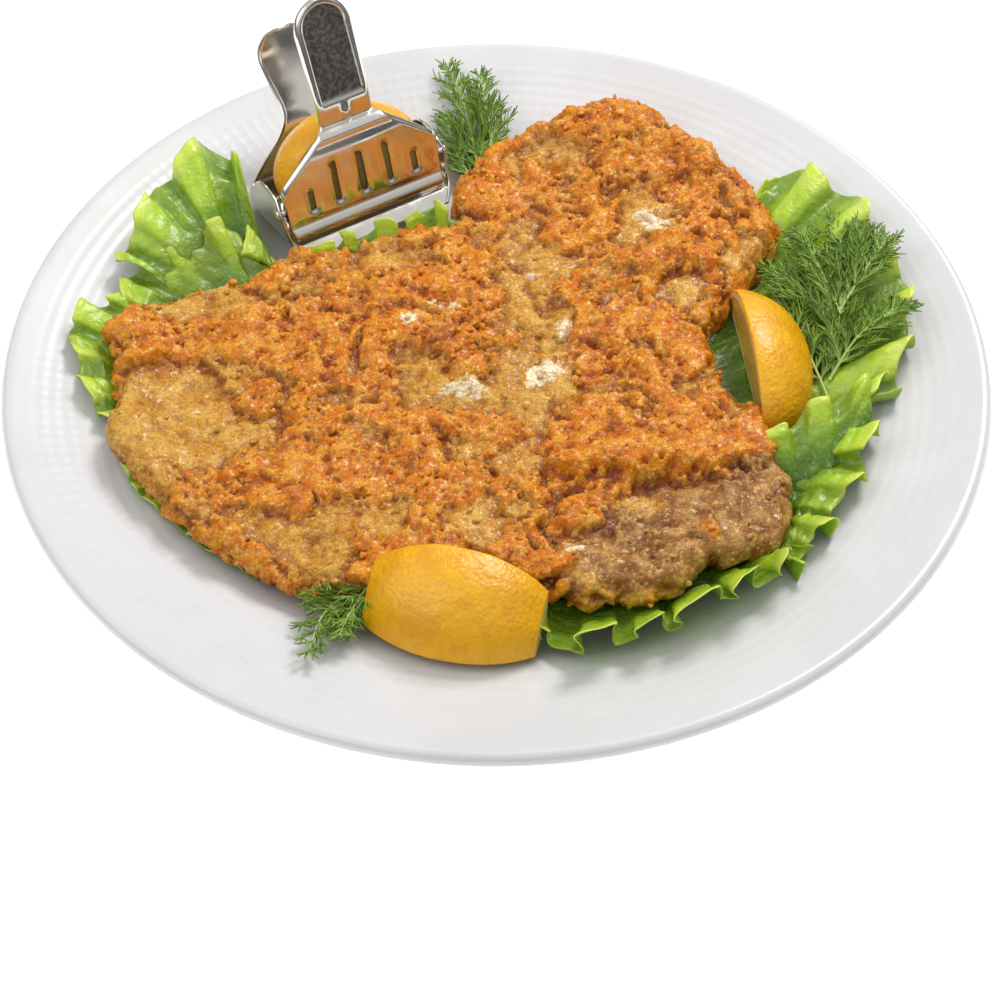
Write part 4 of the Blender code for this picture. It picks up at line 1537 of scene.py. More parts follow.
@dataclass
class Squeezer:
    """The hinged lemon squeezer: a press sheet, a tray sheet, two rivets and the lemon in it."""

    foot: tuple[float, float, float] = (-44.0, 74.7, 25.0)
    yaw: float = math.radians(31)
    sheet: float = 0.8
    lean: float = math.radians(18)
    tab_lean: float = math.radians(26.5)
    neck_lean: float = math.radians(15)
    neck_length: float = 7.0
    press_half: float = 29.3
    press_height: float = 28.0
    shoulder_depth: float = 3.5
    tab_half: float = 9.6
    tab_length: float = 41.5
    tab_rim: float = 1.4
    pivot_back: float = 4.2
    pivot_up: float = 4.6
    wall_half: float = 31.0
    slot_pitch: float = 9.9
    slot_low: float = 4.0
    slot_half: float = 1.0
    slot_lengths: tuple = (7.2, 14.5, 14.5, 14.5, 7.2)
    row_steps: int = 6
    rivet_sides: int = 32
    press_columns: int = 81
    tray_columns: int = 89
    tray_rows: tuple = (
        (8.5, -7.6, 26.5, 0.0, 0.6), (6.0, -6.4, 28.5, -0.3, 0.9), (3.6, -5.6, 30.2, -0.6, 2.0),
        (1.2, -5.8, 31.0, -0.8, 6.5), (-2.0, -6.3, 31.0, -0.5, 12.5), (-7.0, -6.9, 31.0, 0.0, 16.0),
        (-13.0, -7.7, 31.0, 0.5, 17.5), (-19.0, -8.7, 31.0, 1.5, 17.5),
        (-24.0, -9.5, 31.0, 2.5, 15.5), (-26.3, -9.2, 31.0, 3.2, 12.0),
        (-27.6, -6.6, 31.0, 3.4, 8.5), (-29.4, -1.0, 29.0, 3.0, 3.6),
        (-32.0, 3.6, 23.0, 2.0, 1.6), (-35.0, 7.6, 16.0, 1.5, 1.2), (-38.5, 11.3, 11.4, 1.2, 1.1),
        (-42.5, 14.0, 10.0, 1.2, 1.1), (-46.5, 17.0, 10.2, 1.2, 1.1),
        (-50.5, 21.2, 10.9, 1.2, 1.1), (-53.6, 25.8, 11.6, 1.2, 1.2),
        (-55.4, 29.4, 11.2, 1.2, 1.2), (-56.6, 32.0, 9.6, 1.1, 1.3), (-57.3, 33.6, 7.0, 1.0, 1.3),
        (-57.6, 34.4, 3.0, 1.0, 1.3),
    )

    def to_world(self, x: Array, front: Array, up: Array) -> Array:
        """Return places in the row frame from the squeezer's own along, front and up."""
        along = np.array([math.cos(self.yaw), math.sin(self.yaw), 0])
        ahead = np.array([math.sin(self.yaw), -math.cos(self.yaw), 0])
        local = stack(x, front, up)
        return (
            np.array(self.foot)
            + local[..., :1] * along
            + local[..., 1:2] * ahead
            + local[..., 2:] * np.array([0, 0, 1.0])
        )

    def press_point(self, height: float) -> tuple[float, float]:
        """Return (front, up) of the press plate's middle at a distance up the plate."""
        return (-height * math.sin(self.lean), height * math.cos(self.lean))

    def press_rows(self) -> list[tuple]:
        """Return the press sheet's sections: front, up, half width, rim and how far it lifts."""
        rows = [(2.3, -3.7, 28.0, 0.4, 0.0), (2.0, -2.4, 28.4, 0.5, 0.0), (0.9, -1.0, 28.9, 0.8, 0.0)]
        heights = ((0.0, self.press_half, 2.0), (2.2, self.press_half, 6.0),
                   (5.4, self.press_half, 7.0), (8.8, self.press_half, 5.0), (14.0, 29.0, 1.2),
                   (19.0, 23.2, 1.2), (25.0, 15.6, 1.2), (self.press_height - 1, 13.0, 1.2))
        rows += [(*self.press_point(height), half, rim, 0.0) for height, half, rim in heights]
        top = self.press_point(self.press_height)
        ledge = (top[0] - self.shoulder_depth, top[1] + 0.4)
        rows.append((top[0] - 1.2, top[1], 11.5, 1.2, 0.0))
        rows.append((*ledge, self.tab_half, 1.2, 0.0))
        base = (ledge[0] - 0.4, ledge[1] + 1.0)
        sin, cos = math.sin(self.tab_lean), math.cos(self.tab_lean)
        neck_sin, neck_cos = math.sin(self.neck_lean), math.cos(self.neck_lean)
        for length in (0.0, self.neck_length):
            rows.append((base[0] - length * neck_sin, base[1] + length * neck_cos,
                         self.tab_half, self.tab_rim, -0.25))
        base = (base[0] + self.neck_length * (sin - neck_sin),
                base[1] + self.neck_length * (neck_cos - cos))
        for step in range(1, 5):
            length = self.neck_length + (self.tab_length * 0.74 - self.neck_length) * step / 4
            rows.append((base[0] - length * sin, base[1] + length * cos,
                         self.tab_half + 0.15 * step, self.tab_rim, -0.25))
        for step in range(1, 9):
            angle = math.radians(10.4 * step)
            length = self.tab_length * (0.74 + 0.26 * math.sin(angle))
            half = max((self.tab_half + 0.6) * math.cos(angle), 1.6)
            rows.append((base[0] - length * sin, base[1] + length * cos, half, self.tab_rim, -0.25))
        return rows

    def press_across(self, columns: int, half: Array, rim: Array) -> tuple:
        """Return each column's place across the sheet and how far back its flange goes."""
        share = np.linspace(-1, 1, columns)[None, :]
        flat = 0.8
        size = np.abs(share)
        corner = np.minimum(1.2, rim)[:, None]
        inner = half[:, None] - corner
        bend = smoothstep(flat, 0.93, size)
        x = np.where(size < flat, inner * size / flat, inner + corner * np.sin(bend * math.pi / 2))
        back = np.where(size < flat, 0, corner * (1 - np.cos(bend * math.pi / 2)))
        back = back + (rim[:, None] - corner) * smoothstep(0.9, 1.0, size)
        return np.sign(share) * x, back

    def slot_distance(self, x: Array, height: Array) -> Array:
        """Return how far places of the press plate lie from the nearest slot's middle line."""
        best = np.full(np.broadcast(x, height).shape, np.inf)
        for index, length in enumerate(self.slot_lengths):
            along = (index - 2) * self.slot_pitch
            low, high = self.slot_low + self.slot_half, self.slot_low + length - self.slot_half
            best = np.minimum(best, np.hypot(x - along, height - np.clip(height, low, high)))
        return best

    def build_press(self) -> Piece:
        """Build the front sheet with its slots, shoulder and thumb tab."""
        rows = self.press_rows()
        count = (len(rows) - 1) * self.row_steps + 1
        smooth = curve_through(rows, count)
        front, up, half, rim, lift = smooth.T
        x, back = self.press_across(self.press_columns, half, rim)
        height = np.hypot(front, up)[:, None] * np.sign(up)[:, None]
        on_plate = smoothstep(0.5, 2.0, height) * (1 - smoothstep(22, 25, height))
        near_slot = self.slot_distance(x, height)
        rim_lift = -0.6 * np.exp(-((near_slot - 1.2) / 0.7) ** 2) * on_plate
        length_up = np.hypot(front - front[0], up - up[0])[:, None]
        from_base = length_up - (self.press_height + self.shoulder_depth + 3.7)
        to_tip = length_up[-1] - length_up
        corner = np.hypot(x, np.maximum(self.tab_half - to_tip, 0))
        panel = smoothstep(-8.4, -7.6, -corner) * smoothstep(6.6, 7.4, from_base)
        sunk = -0.8 * panel
        crown = 0.35 * np.cos(np.clip(x / 29, -1, 1) * math.pi / 2) * on_plate
        neck = 0.9 * np.exp(-((x / 1.6) ** 2)) * np.exp(-(((from_base - 1.5) / 2.2) ** 2))
        ahead = rim_lift + sunk + crown + neck
        grid = self.to_world(
            x, front[:, None] - back + ahead, up[:, None] + lift[:, None] * back + 0.3 * ahead
        )
        places, faces = closed_sheet(grid, self.sheet)
        masks = np.zeros((*grid.shape[:2], 4))
        # The first mask is the pressed panel, where the steel's colour paints a dark reflection.
        masks[..., 0] = panel
        parts = MeshParts()
        parts.add(places, faces, np.concatenate([masks.reshape(-1, 4)] * 2))
        piece = parts.build("squeezer_press_sheet")
        self.cut_slots(piece)
        STEEL.dress(piece)
        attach(piece, Body.PRESS.value)
        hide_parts("squeezer_press")
        return piece

    def cut_slots(self, piece: Piece) -> None:
        """Cut the five round-ended slots through the press sheet."""
        bm = bmesh.new()
        for index, length in enumerate(self.slot_lengths):
            along = (index - 2) * self.slot_pitch
            straight = length / 2 - self.slot_half
            made = bmesh.ops.create_cone(
                bm, cap_ends=True, segments=32, radius1=self.slot_half, radius2=self.slot_half,
                depth=12.0,
            )["verts"]
            local = np.array([vert.co[:] for vert in made])
            local[:, 1] += np.sign(np.round(local[:, 1], 4)) * straight
            middle = self.slot_low + length / 2 + local[:, 1]
            front = -middle * math.sin(self.lean) + local[:, 2] * math.cos(self.lean)
            up = middle * math.cos(self.lean) + local[:, 2] * math.sin(self.lean)
            places = self.to_world(along + local[:, 0], front, up) * MM
            for vert, place in zip(made, places):
                vert.co = place
        bmesh.ops.recalc_face_normals(bm, faces=bm.faces)
        mesh = bpy.data.meshes.new("slot_cutter")
        bm.to_mesh(mesh)
        bm.free()
        cutter = add_object("slot_cutter", mesh)
        boolean = piece.modifiers.new("slots", "BOOLEAN")
        boolean.operation = "DIFFERENCE"
        boolean.object = cutter
        bpy.context.view_layer.update()
        graph = bpy.context.evaluated_depsgraph_get()
        cut = bpy.data.meshes.new_from_object(piece.evaluated_get(graph))
        piece.modifiers.clear()
        piece.data = cut
        bpy.data.objects.remove(cutter)
        cut.shade_smooth()

    def build_tray(self) -> Piece:
        """Build the rear sheet: pouring lip, side walls, back plate and thumb tab."""
        count = (len(self.tray_rows) - 1) * self.row_steps + 1
        front, up, half, rim_front, rim_up = curve_through(self.tray_rows, count).T
        share = np.linspace(-1, 1, self.tray_columns)[None, :]
        size = np.abs(share)
        wall = np.hypot(rim_front, rim_up)
        corner = np.minimum(2.4, wall * 0.9)[:, None]
        inner = half[:, None] - corner
        flat = 0.62
        bend = np.clip((size - flat) / 0.1, 0, 1) * math.pi / 2
        x = np.where(size < flat, inner * size / flat, inner + corner * np.sin(bend))
        rise = np.where(size < flat, 0, corner * (1 - np.cos(bend)))
        rise = rise + (wall[:, None] - corner) * np.clip((size - flat - 0.1) / (0.9 - flat), 0, 1)
        share_front = (rim_front / wall)[:, None]
        share_up = (rim_up / wall)[:, None]
        ahead = front[:, None] + rise * share_front
        lift = up[:, None] + rise * share_up
        boss = 0.8 * np.exp(-((np.hypot(ahead + self.pivot_back, lift - self.pivot_up) / 3.4) ** 4))
        x = np.sign(share) * (x + boss * (size > flat + 0.1))
        grid = self.to_world(x, ahead, lift)
        places, faces = closed_sheet(grid, self.sheet)
        parts = MeshParts()
        parts.add(places, faces, np.zeros((len(places), 4)))
        piece = parts.build("squeezer_tray_sheet")
        STEEL.dress(piece)
        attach(piece, Body.DISH.value)
        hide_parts("squeezer_tray")
        return piece

    def build_rivet(self, side: int, node: str) -> Piece:
        """Build one pivot rivet with domed heads.

        Args:
            side: -1 for the left end of the hinge and 1 for the right.
            node: The node that it stands for.

        Returns:
            The rivet.
        """
        outer, inner = self.wall_half + 1.4, self.press_half - 0.7
        profile = np.array(
            [(0.05, outer + 0.9), (0.9, outer + 0.82), (1.6, outer + 0.55), (2.05, outer + 0.2),
             (2.1, outer - 0.1), (1.2, outer - 0.2), (1.2, inner), (2.1, inner), (2.0, inner - 0.4),
             (1.2, inner - 0.65), (0.05, inner - 0.7)]
        )
        turn = np.arange(self.rivet_sides) / self.rivet_sides * FULL_TURN
        reach = profile[:, :1]
        grid = self.to_world(
            side * profile[:, 1:] * np.ones_like(turn),
            -self.pivot_back + reach * np.cos(turn),
            self.pivot_up + reach * np.sin(turn) * side,
        )
        parts = MeshParts()
        parts.add(grid, grid_faces(len(profile), self.rivet_sides, True), np.zeros((*grid.shape[:2], 4)))
        parts.close_ends(self.rivet_sides)
        piece = parts.build(f"{node}_turned")
        STEEL.dress(piece)
        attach(piece, Body.DISH.value)
        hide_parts(node)
        return piece

    def build_lemon(self) -> Piece:
        """Build the pressed lemon piece between the two sheets."""
        noise = Noise(47)
        rows, columns = 90, 150
        lift = np.linspace(-math.pi / 2, math.pi / 2, rows)[1:-1, None]
        turn = np.arange(columns)[None, :] / columns * FULL_TURN
        x = 27 * np.sin(lift) * np.ones_like(turn)
        y = 19 * 0.9 * np.cos(lift) * np.cos(turn)
        z = 19 * np.cos(lift) * np.sin(turn)
        ball = stack(x, y, z)
        pore, _, _ = noise.cells(ball, 1.9, 2, flat=False)
        ball = ball * (1 - 0.012 * (1 - smoothstep(0.12, 0.5, pore)))[..., None]
        angle = math.radians(27)
        front = -13.5 + ball[..., 1] * math.cos(angle) - ball[..., 2] * math.sin(angle)
        up = 8 + ball[..., 1] * math.sin(angle) + ball[..., 2] * math.cos(angle)
        cut = np.zeros(front.shape)
        planes = ((math.cos(self.lean), math.sin(self.lean), -3.2), (0.0, -1.0, -1.2),
                  (-math.cos(math.radians(37)), -math.sin(math.radians(37)),
                   19.0 * math.cos(math.radians(37)) - 0.2))
        for normal_front, normal_up, limit in planes:
            over = np.maximum(front * normal_front + up * normal_up - limit, 0)
            front, up = front - over * normal_front, up - over * normal_up
            cut = np.maximum(cut, smoothstep(0.0, 0.6, over))
        grid = self.to_world(ball[..., 0], front, up)
        _, _, own = noise.cells(grid, 1.8, 6, flat=False)
        # The fourth mask is painted shade in the peel's pores.
        masks = np.stack([1 - cut, 0.3 * cut, 0.2 + 0.6 * own, 0.12 * (1 - pore) * (1 - cut)], -1)
        parts = MeshParts()
        parts.add(grid, grid_faces(rows - 2, columns, True), masks)
        parts.close_ends(columns)
        piece = parts.build("lemon_squeezed_piece")
        LEMON.dress(piece)
        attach(piece, Body.DISH.value)
        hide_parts("lemon_squeezed")
        return piece

    def build(self) -> None:
        """Build every piece of the squeezer."""
        LOG.info("press %d faces", len(self.build_press().data.polygons))
        LOG.info("tray %d faces", len(self.build_tray().data.polygons))
        self.build_rivet(-1, "rivet_left")
        self.build_rivet(1, "rivet_right")
        LOG.info("pressed lemon %d faces", len(self.build_lemon().data.polygons))


# Lettuce


@dataclass(frozen=True)
class Blade:
    """One ruffled sheet of a leaf.

    Each point of rim and heart is (x, y, rise over the plate). The rim is the free edge and the
    heart is the edge nearer the food.
    """

    rim: tuple
    heart: tuple
    folds: float
    ruffle: float = 3.0
    arch: float = 3.0
    columns: int = 220
    rows: int = 44
    seed: int = 1


@dataclass
class LettuceLeaf:
    """A lettuce leaf made of ruffled blades."""

    node: str
    blades: tuple[Blade, ...]
    thickness: float = 0.45

    def blade_grid(self, blade: Blade) -> tuple[Array, Array]:
        """Work out one blade.

        Args:
            blade: The blade's edges and ruffles.

        Returns:
            Its grid of places and its masks.
        """
        noise = Noise(100 + blade.seed)
        rim = curve_through(blade.rim, blade.columns)
        heart = curve_through(blade.heart, blade.columns)
        out = np.linspace(0, 1, blade.rows)[:, None, None]
        base = heart[None] * (1 - out) + rim[None] * out
        share = out[..., 0]
        lengths = np.linalg.norm(np.diff(rim[:, :2], axis=0), axis=1)
        run = np.concatenate([[0], np.cumsum(lengths)])[None, :]
        phase = blade.folds * FULL_TURN * run / run[0, -1]
        phase = phase + 2.6 * noise.smooth(stack(run[0], np.zeros(blade.columns)), 11)[None, :]
        along = unit(np.gradient(rim[:, :2], axis=0))
        away = unit(rim[:, :2] - heart[:, :2])
        vary = 0.75 + 0.5 * noise.smooth(stack(run[0], np.full(blade.columns, 7.0)), 17)[None, :]
        wave = blade.ruffle * share**1.6 * vary
        small = 0.1 * blade.ruffle * share**4
        lift = wave * np.sin(phase) + small * np.sin(2.7 * phase + 1.1)
        slide = -0.45 * wave * np.sin(2 * phase) + small * np.cos(3.1 * phase)
        reach = 0.5 * wave * np.cos(phase) + 0.7 * small * np.sin(3.7 * phase)
        x = base[..., 0] + slide * along[None, :, 0] + reach * away[None, :, 0]
        y = base[..., 1] + slide * along[None, :, 1] + reach * away[None, :, 1]
        rise = base[..., 2] + lift + blade.arch * np.sin(share * math.pi) * 0.8
        flat = stack(run * np.ones_like(share), share * np.ptp(base[:, :, 1]) * 0.5 + share * 26)
        drift = noise.layered(flat, 9, 2, 0.5, 4)
        near, far, _ = noise.cells(flat + 3.2 * drift[..., None], 8.5, 3)
        gap = far - near
        blister = smoothstep(0.0, 0.6, gap)
        rise = rise + 0.4 * (blister - 0.6) * smoothstep(0, 0.3, share)
        rise = rise + 1.1 * noise.layered(flat, 14, 2, 0.4, 9)
        rise = np.maximum(rise, 0.9)
        grid = stack(x, y, plate_height(x, y) + rise)
        veins = 1 - smoothstep(0.02, 0.09, gap)
        # Painted shade in the folds: darker in the ruffles' troughs and between the blisters, with a light
        # base shade everywhere.
        hollow = np.clip(0.5 - 0.65 * np.sin(phase) * share - 0.2 * (blister - 0.4), 0, 1)
        # The third mask darkens the blade towards its heart edge: partly the leaf's own tone, partly painted
        # shade under the food.
        masks = np.stack(
            [smoothstep(0.8, 1.0, share) * np.ones_like(run), veins * (1 - 0.4 * share),
             1 - smoothstep(0.15, 0.75, share) * np.ones_like(run), hollow * 0.7], -1
        )
        return grid, masks

    def build(self) -> Piece:
        """Build and dress the leaf."""
        parts = MeshParts()
        for blade in self.blades:
            grid, masks = self.blade_grid(blade)
            share = np.linspace(0, 1, blade.rows)[:, None]
            places, faces = closed_sheet(grid, self.thickness * (1.3 - 0.5 * share))
            parts.add(places, faces, np.concatenate([masks.reshape(-1, 4)] * 2))
        piece = parts.build(f"{self.node}_leaf")
        LETTUCE.dress(piece)
        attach(piece, Body.DISH.value)
        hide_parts(self.node)
        return piece


LEAVES = (
    LettuceLeaf("lettuce_back_left", (
        Blade(((-84, 50, 12), (-86, 74, 17), (-90, 88, 19), (-100, 90, 19), (-112, 76, 16),
               (-122, 60, 11), (-127, 44, 6)),
              ((-70, 46, 3), (-76, 52, 3), (-82, 54, 3), (-86, 50, 3), (-90, 46, 3), (-96, 40, 3),
               (-104, 34, 3)),
              4.0, 5.0, 6.0, 220, 42, 1),
        Blade(((-68, 50, 6), (-84, 58, 14), (-98, 60, 15), (-112, 52, 10), (-124, 40, 5), (-124, 28, 4)),
              ((-62, 40, 2), (-72, 38, 2), (-82, 36, 2), (-92, 32, 2), (-102, 28, 2), (-110, 24, 2)),
              3.5, 4.2, 4.0, 190, 30, 2),
    )),
    LettuceLeaf("lettuce_left", (
        Blade(((-122, 32, 5), (-134, 26, 6), (-140, 16, 5), (-137, 4, 5), (-134, -8, 5), (-128, -20, 5),
               (-120, -26, 3)),
              ((-112, 26, 1.5), (-113, 18, 1.5), (-114, 10, 1.5), (-115, 2, 1.5), (-114, -6, 1.5),
               (-112, -14, 1.5), (-108, -22, 1.5)),
              4.5, 3.4, 2.0, 190, 30, 3),
    )),
    LettuceLeaf("lettuce_front_left", (
        Blade(((-119, -40, 2), (-113, -52, 3), (-104, -61, 3), (-94, -70, 3), (-82, -79, 3),
               (-74, -82, 2)),
              ((-108, -34, 1.2), (-102, -44, 1.2), (-95, -52, 1.2), (-86, -60, 1.2), (-76, -68, 1.2),
               (-68, -72, 1.2)),
              7.0, 1.1, 1.0, 200, 26, 4),
    )),
    LettuceLeaf("lettuce_middle", (
        Blade(((-62, 52, 12), (-52, 56, 17), (-42, 60, 18), (-32, 62, 17), (-22, 68, 21), (-10, 64, 18)),
              ((-58, 44, 3), (-48, 48, 4), (-40, 50, 4), (-30, 54, 4), (-20, 56, 4), (-12, 56, 4)),
              5.0, 4.0, 2.0, 190, 30, 5),
    )),
    LettuceLeaf("lettuce_right", (
        Blade(((88, 78, 6), (97, 88, 9), (108, 86, 9), (120, 74, 9), (129, 58, 8), (135, 40, 8),
               (136, 22, 7), (133, 4, 6), (128, -14, 6)),
              ((80, 56, 2), (74, 48, 3), (70, 38, 4), (66, 28, 4), (63, 16, 4), (62, 6, 4), (62, -4, 4),
               (66, -14, 4), (80, -24, 3)),
              6.0, 4.8, 1.0, 280, 50, 6),
    )),
    LettuceLeaf("lettuce_front_right", (
        Blade(((124, -8, 6), (121, -24, 7), (117, -40, 7), (112, -54, 7), (105, -66, 7), (98, -77, 6),
               (90, -86, 5)),
              ((98, -14, 2), (94, -22, 2), (90, -32, 2), (90, -42, 2), (88, -52, 2), (84, -60, 2),
               (78, -68, 2)),
              4.0, 6.4, 2.0, 230, 40, 7),
        Blade(((84, -33, 14), (92, -29, 17), (102, -22, 17), (112, -16, 15), (120, -8, 10)),
              ((84, -46, 4), (94, -46, 4), (104, -42, 4), (112, -36, 4), (120, -26, 4)),
              2.5, 3.6, 3.0, 120, 24, 17),
    )),
    LettuceLeaf("lettuce_front", (
        Blade(((13, -108, 6), (18, -116, 10), (28, -118, 12), (38, -115, 12), (48, -112, 12),
               (58, -108, 13), (68, -103, 14), (78, -97, 14), (88, -88, 12), (95, -77, 8)),
              ((12, -88, 1.0), (20, -88, 1.0), (30, -88, 1.0), (40, -86, 1.0), (48, -84, 1.0),
               (56, -80, 1.0), (64, -76, 1.0), (70, -72, 1.0), (76, -68, 1.0), (80, -62, 1.0)),
              6.0, 7.0, -3.0, 320, 44, 8),
    )),
)


# Dill


@dataclass(frozen=True)
class Frond:
    """One dill frond: where its stem starts, which way it goes and how it spreads."""

    stem: tuple
    spread: float
    pairs: int


@dataclass
class DillSprig:
    """A dill sprig made of fronds of fine threads."""

    node: str
    fronds: tuple[Frond, ...]
    seed: int
    thread: float = 0.5
    sides: int = 4

    def add_thread(
        self, parts: MeshParts, path: Array, thick: float, stem: float, light: float
    ) -> None:
        """Add one thread.

        Args:
            parts: The mesh to add to.
            path: Its centre line.
            thick: Its radius at the start.
            stem: The share of stem colour.
            light: The share of light green.
        """
        radii = thick * np.linspace(1, 0.45, len(path))
        places, faces, start, end = tube(path, radii, self.sides)
        masks = np.zeros((places.shape[0] * self.sides, 4))
        masks[:, 0], masks[:, 1] = stem, light
        first = parts.total
        parts.add(places, faces, masks)
        parts.faces.append(start + first)
        parts.faces.append(end + first)

    def spray(
        self, parts: MeshParts, draw: np.random.Generator, start: Array,
        heading: Array, flat: Array, length: float, level: int,
    ) -> None:
        """Add a side stem with finer threads on both sides of it.

        Args:
            parts: The mesh to add to.
            draw: The seeded draw.
            start: Where it leaves its stem.
            heading: The way it goes.
            flat: The normal of the plane in which it spreads.
            length: Its length.
            level: How many finer levels it carries.
        """
        droop = draw.normal(0, 0.22, 3)
        steps = np.linspace(0, 1, 6 if level else 5)[:, None]
        path = start + heading * length * steps + (droop * length * 0.5) * steps**2
        self.add_thread(parts, path, self.thread * (0.8 + 0.25 * level), 0.15 * level,
                        float(draw.uniform(0, 0.8)))
        if not level:
            return
        count = max(3, int(length / 1.25))
        for index in range(count):
            share = (index + 0.8) / (count + 0.3)
            at = start + heading * length * share + (droop * length * 0.5) * share**2
            for side in (-1, 1):
                across = np.cross(flat, heading) * side
                swing = draw.uniform(0.22, 0.5)
                way = heading * (1 - 0.35 * swing) + across * swing + flat * draw.normal(0, 0.28)
                way = way / np.linalg.norm(way)
                size = length * (0.62 - 0.2 * share) * draw.uniform(0.75, 1.2)
                self.spray(parts, draw, at, way, flat, max(size, 2.4), level - 1)

    def build(self) -> Piece:
        """Build and dress the sprig."""
        draw = np.random.default_rng(self.seed)
        parts = MeshParts()
        for frond in self.fronds:
            rise = np.array(frond.stem, float)
            rise[:, 2] += plate_height(rise[:, 0], rise[:, 1])
            path = curve_through(rise, 28)
            self.add_thread(parts, path, 0.62, 0.9, 0.8)
            along = unit(np.gradient(path, axis=0))
            for index in range(frond.pairs):
                share = 0.12 + 0.86 * (index + 0.5) / frond.pairs
                step = int(share * (len(path) - 1))
                flat = np.array([0, 0, 1.0]) - along[step] * along[step][2]
                flat = flat / np.linalg.norm(flat)
                for side in (-1, 1):
                    across = np.cross(flat, along[step]) * side
                    way = along[step] * draw.uniform(0.7, 1.0) + across * draw.uniform(0.35, 0.75)
                    way = way + flat * draw.normal(0.12, 0.22)
                    way = way / np.linalg.norm(way)
                    profile = math.sin(math.pi * min(0.25 + share * 0.72, 1.0)) * 0.8 + 0.25
                    size = frond.spread * profile * draw.uniform(0.8, 1.15)
                    self.spray(parts, draw, path[step], way, flat, size, 1)
        piece = parts.build(f"{self.node}_sprig")
        DILL.dress(piece)
        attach(piece, Body.DISH.value)
        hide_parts(self.node)
        return piece


SPRIGS = (
    DillSprig("dill_back", (
        Frond(((-6, 94, 8), (-8, 110, 7), (-12, 128, 6), (-18, 146, 4)), 10, 15),
        Frond(((-6, 96, 8), (-2, 112, 8), (-4, 126, 7), (-6, 140, 6)), 9, 13),
        Frond(((-8, 96, 6), (-14, 108, 6), (-18, 122, 5)), 8, 9),
    ), 5),
    DillSprig("dill_right", (
        Frond(((107, -14, 5), (110, 4, 9), (113, 22, 12), (115, 46, 12), (115, 66, 9)), 11, 20),
        Frond(((113, 20, 12), (109, 34, 14), (105, 48, 14), (102, 58, 12)), 10, 11),
        Frond(((112, 18, 12), (104, 30, 14), (97, 38, 14), (91, 46, 12)), 10, 10),
        Frond(((113, 22, 12), (121, 34, 14), (127, 44, 13), (131, 52, 10)), 10, 10),
        Frond(((108, -4, 9), (117, 8, 12), (127, 16, 12), (135, 22, 9)), 10, 10),
        Frond(((107, -10, 8), (102, 6, 12), (98, 20, 13), (95, 32, 12)), 9, 11),
        Frond(((113, 26, 12), (119, 42, 13), (122, 58, 11)), 9, 9),
    ), 6),
    DillSprig("dill_front", (
        Frond(((-38, -86, 9), (-46, -92, 8), (-53, -104, 6), (-56, -120, 4)), 9, 12),
        Frond(((-38, -88, 10), (-44, -100, 8), (-47, -112, 6)), 8, 9),
        Frond(((-38, -82, 12), (-48, -84, 10), (-58, -94, 7)), 7, 8),
    ), 7),
)


WEDGES = (
    LemonWedge("lemon_front", "lemon_front_wedge", (-11, -95, 11.5), -14, 15, 84, 26.5, 27),
    LemonWedge("lemon_right", "lemon_right_wedge", (81.5, 3.6, 14.5), 97, 3, 88, 22, 31, half_length=31.5,
               seed=5),
)


# Studio


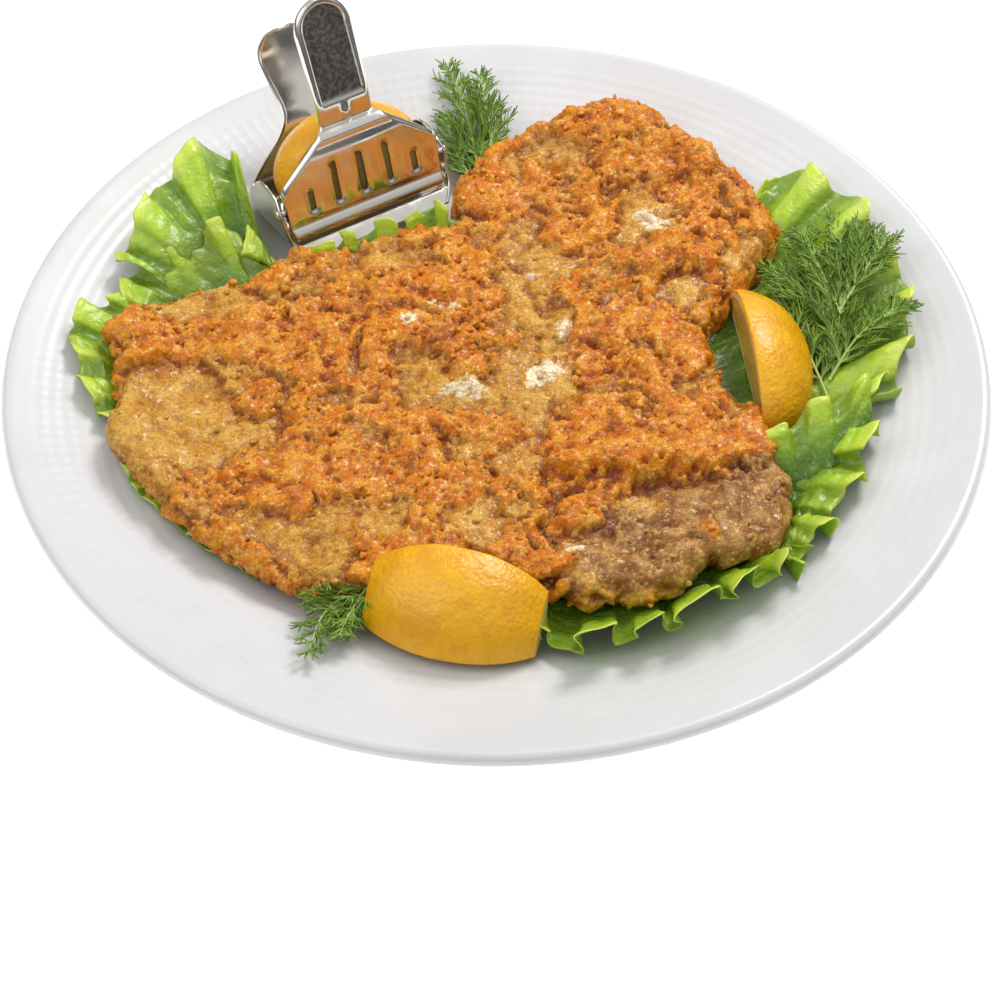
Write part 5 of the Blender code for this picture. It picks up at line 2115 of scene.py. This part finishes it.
@dataclass
class Studio:
    """The camera, the pale floor, the soft lights and the surroundings."""

    lens: float = 105.56
    eye: tuple[float, float, float] = (0.0011, -0.66083, 0.70835)
    elevation: float = 48.744
    floor_radius: float = 1.2
    floor_tint: Colour = tint(248, 248, 248)

    def aim(self, name: str, place: tuple, target: tuple, size: float, power: float,
            tone: tuple) -> None:
        """Hang one soft light.

        Args:
            name: The light's name.
            place: Where it hangs, in metres.
            target: What it points at.
            size: The side of its square, in metres.
            power: Its power in watts.
            tone: Its colour.
        """
        data = bpy.data.lights.new(name, "AREA")
        data.size = size
        data.energy = power
        data.color = tone
        light = add_object(name, data)
        light.location = place
        way = Vector(target) - Vector(place)
        light.rotation_euler = way.to_track_quat("-Z", "Y").to_euler()

    def build_floor(self) -> None:
        """Lay the round pale floor."""
        bm = bmesh.new()
        bmesh.ops.create_circle(bm, cap_ends=True, segments=96, radius=self.floor_radius)
        mesh = bpy.data.meshes.new("floor")
        bm.to_mesh(mesh)
        bm.free()
        floor = add_object("floor", mesh)
        floor.location.z = -0.0002
        material = bpy.data.materials.new("pale_floor")
        material.use_nodes = True
        shader = material.node_tree.nodes["Principled BSDF"]
        shader.inputs["Base Color"].default_value = self.floor_tint
        shader.inputs["Roughness"].default_value = 0.9
        shader.inputs["Emission Color"].default_value = self.floor_tint
        shader.inputs["Emission Strength"].default_value = 0.5
        mesh.materials.append(material)

    def build_world(self) -> None:
        """Make the surroundings: bright above, darker near the horizon."""
        world = bpy.data.worlds.new("studio")
        bpy.context.scene.world = world
        world.use_nodes = True
        sheet = NodeSheet(world.node_tree)
        back = world.node_tree.nodes["Background"]
        split = sheet.node("ShaderNodeSeparateXYZ")
        sheet.feed(split.inputs[0], sheet.node("ShaderNodeTexCoord").outputs["Generated"])
        sky = sheet.ramp(split.outputs["Z"], 0.05, 0.75, 0.12, 0.7)
        seen = sheet.node("ShaderNodeLightPath").outputs["Is Camera Ray"]
        strength = sheet.math("MAXIMUM", sky, seen)
        back.inputs["Color"].default_value = (1.0, 1.0, 1.0, 1.0)
        sheet.feed(back.inputs["Strength"], strength)

    def build(self) -> None:
        """Set up the camera, lights, floor and surroundings."""
        data = bpy.data.cameras.new("camera")
        data.lens = self.lens
        data.sensor_width = 36.0
        camera = add_object("camera", data)
        camera.location = self.eye
        camera.rotation_euler = (math.radians(90 - self.elevation), 0, 0)
        bpy.context.scene.camera = camera
        self.build_floor()
        self.build_world()
        self.aim("key", (0.45, 0.75, 1.0), (0, 0, 0), 0.45, 10.6, (1.0, 0.985, 0.97))
        self.aim("fill", (-0.8, -0.3, 1.0), (0, 0, 0), 1.0, 4.2, (0.98, 0.99, 1.0))
        bpy.context.scene.view_settings.view_transform = "Standard"


def main() -> None:
    """Build the dish, piece by piece."""
    logging.basicConfig(level=logging.INFO, format="%(name)s: %(message)s")
    LOG.info("plate %d faces", len(Plate().build().data.polygons))
    Cutlet().build()
    for wedge in WEDGES:
        LOG.info("%s %d faces", wedge.name, len(wedge.build().data.polygons))
    Squeezer().build()
    for leaf in LEAVES:
        LOG.info("%s %d faces", leaf.node, len(leaf.build().data.polygons))
    for sprig in SPRIGS:
        LOG.info("%s %d faces", sprig.node, len(sprig.build().data.polygons))
    Studio().build()


if __name__ == "__main__":
    main()
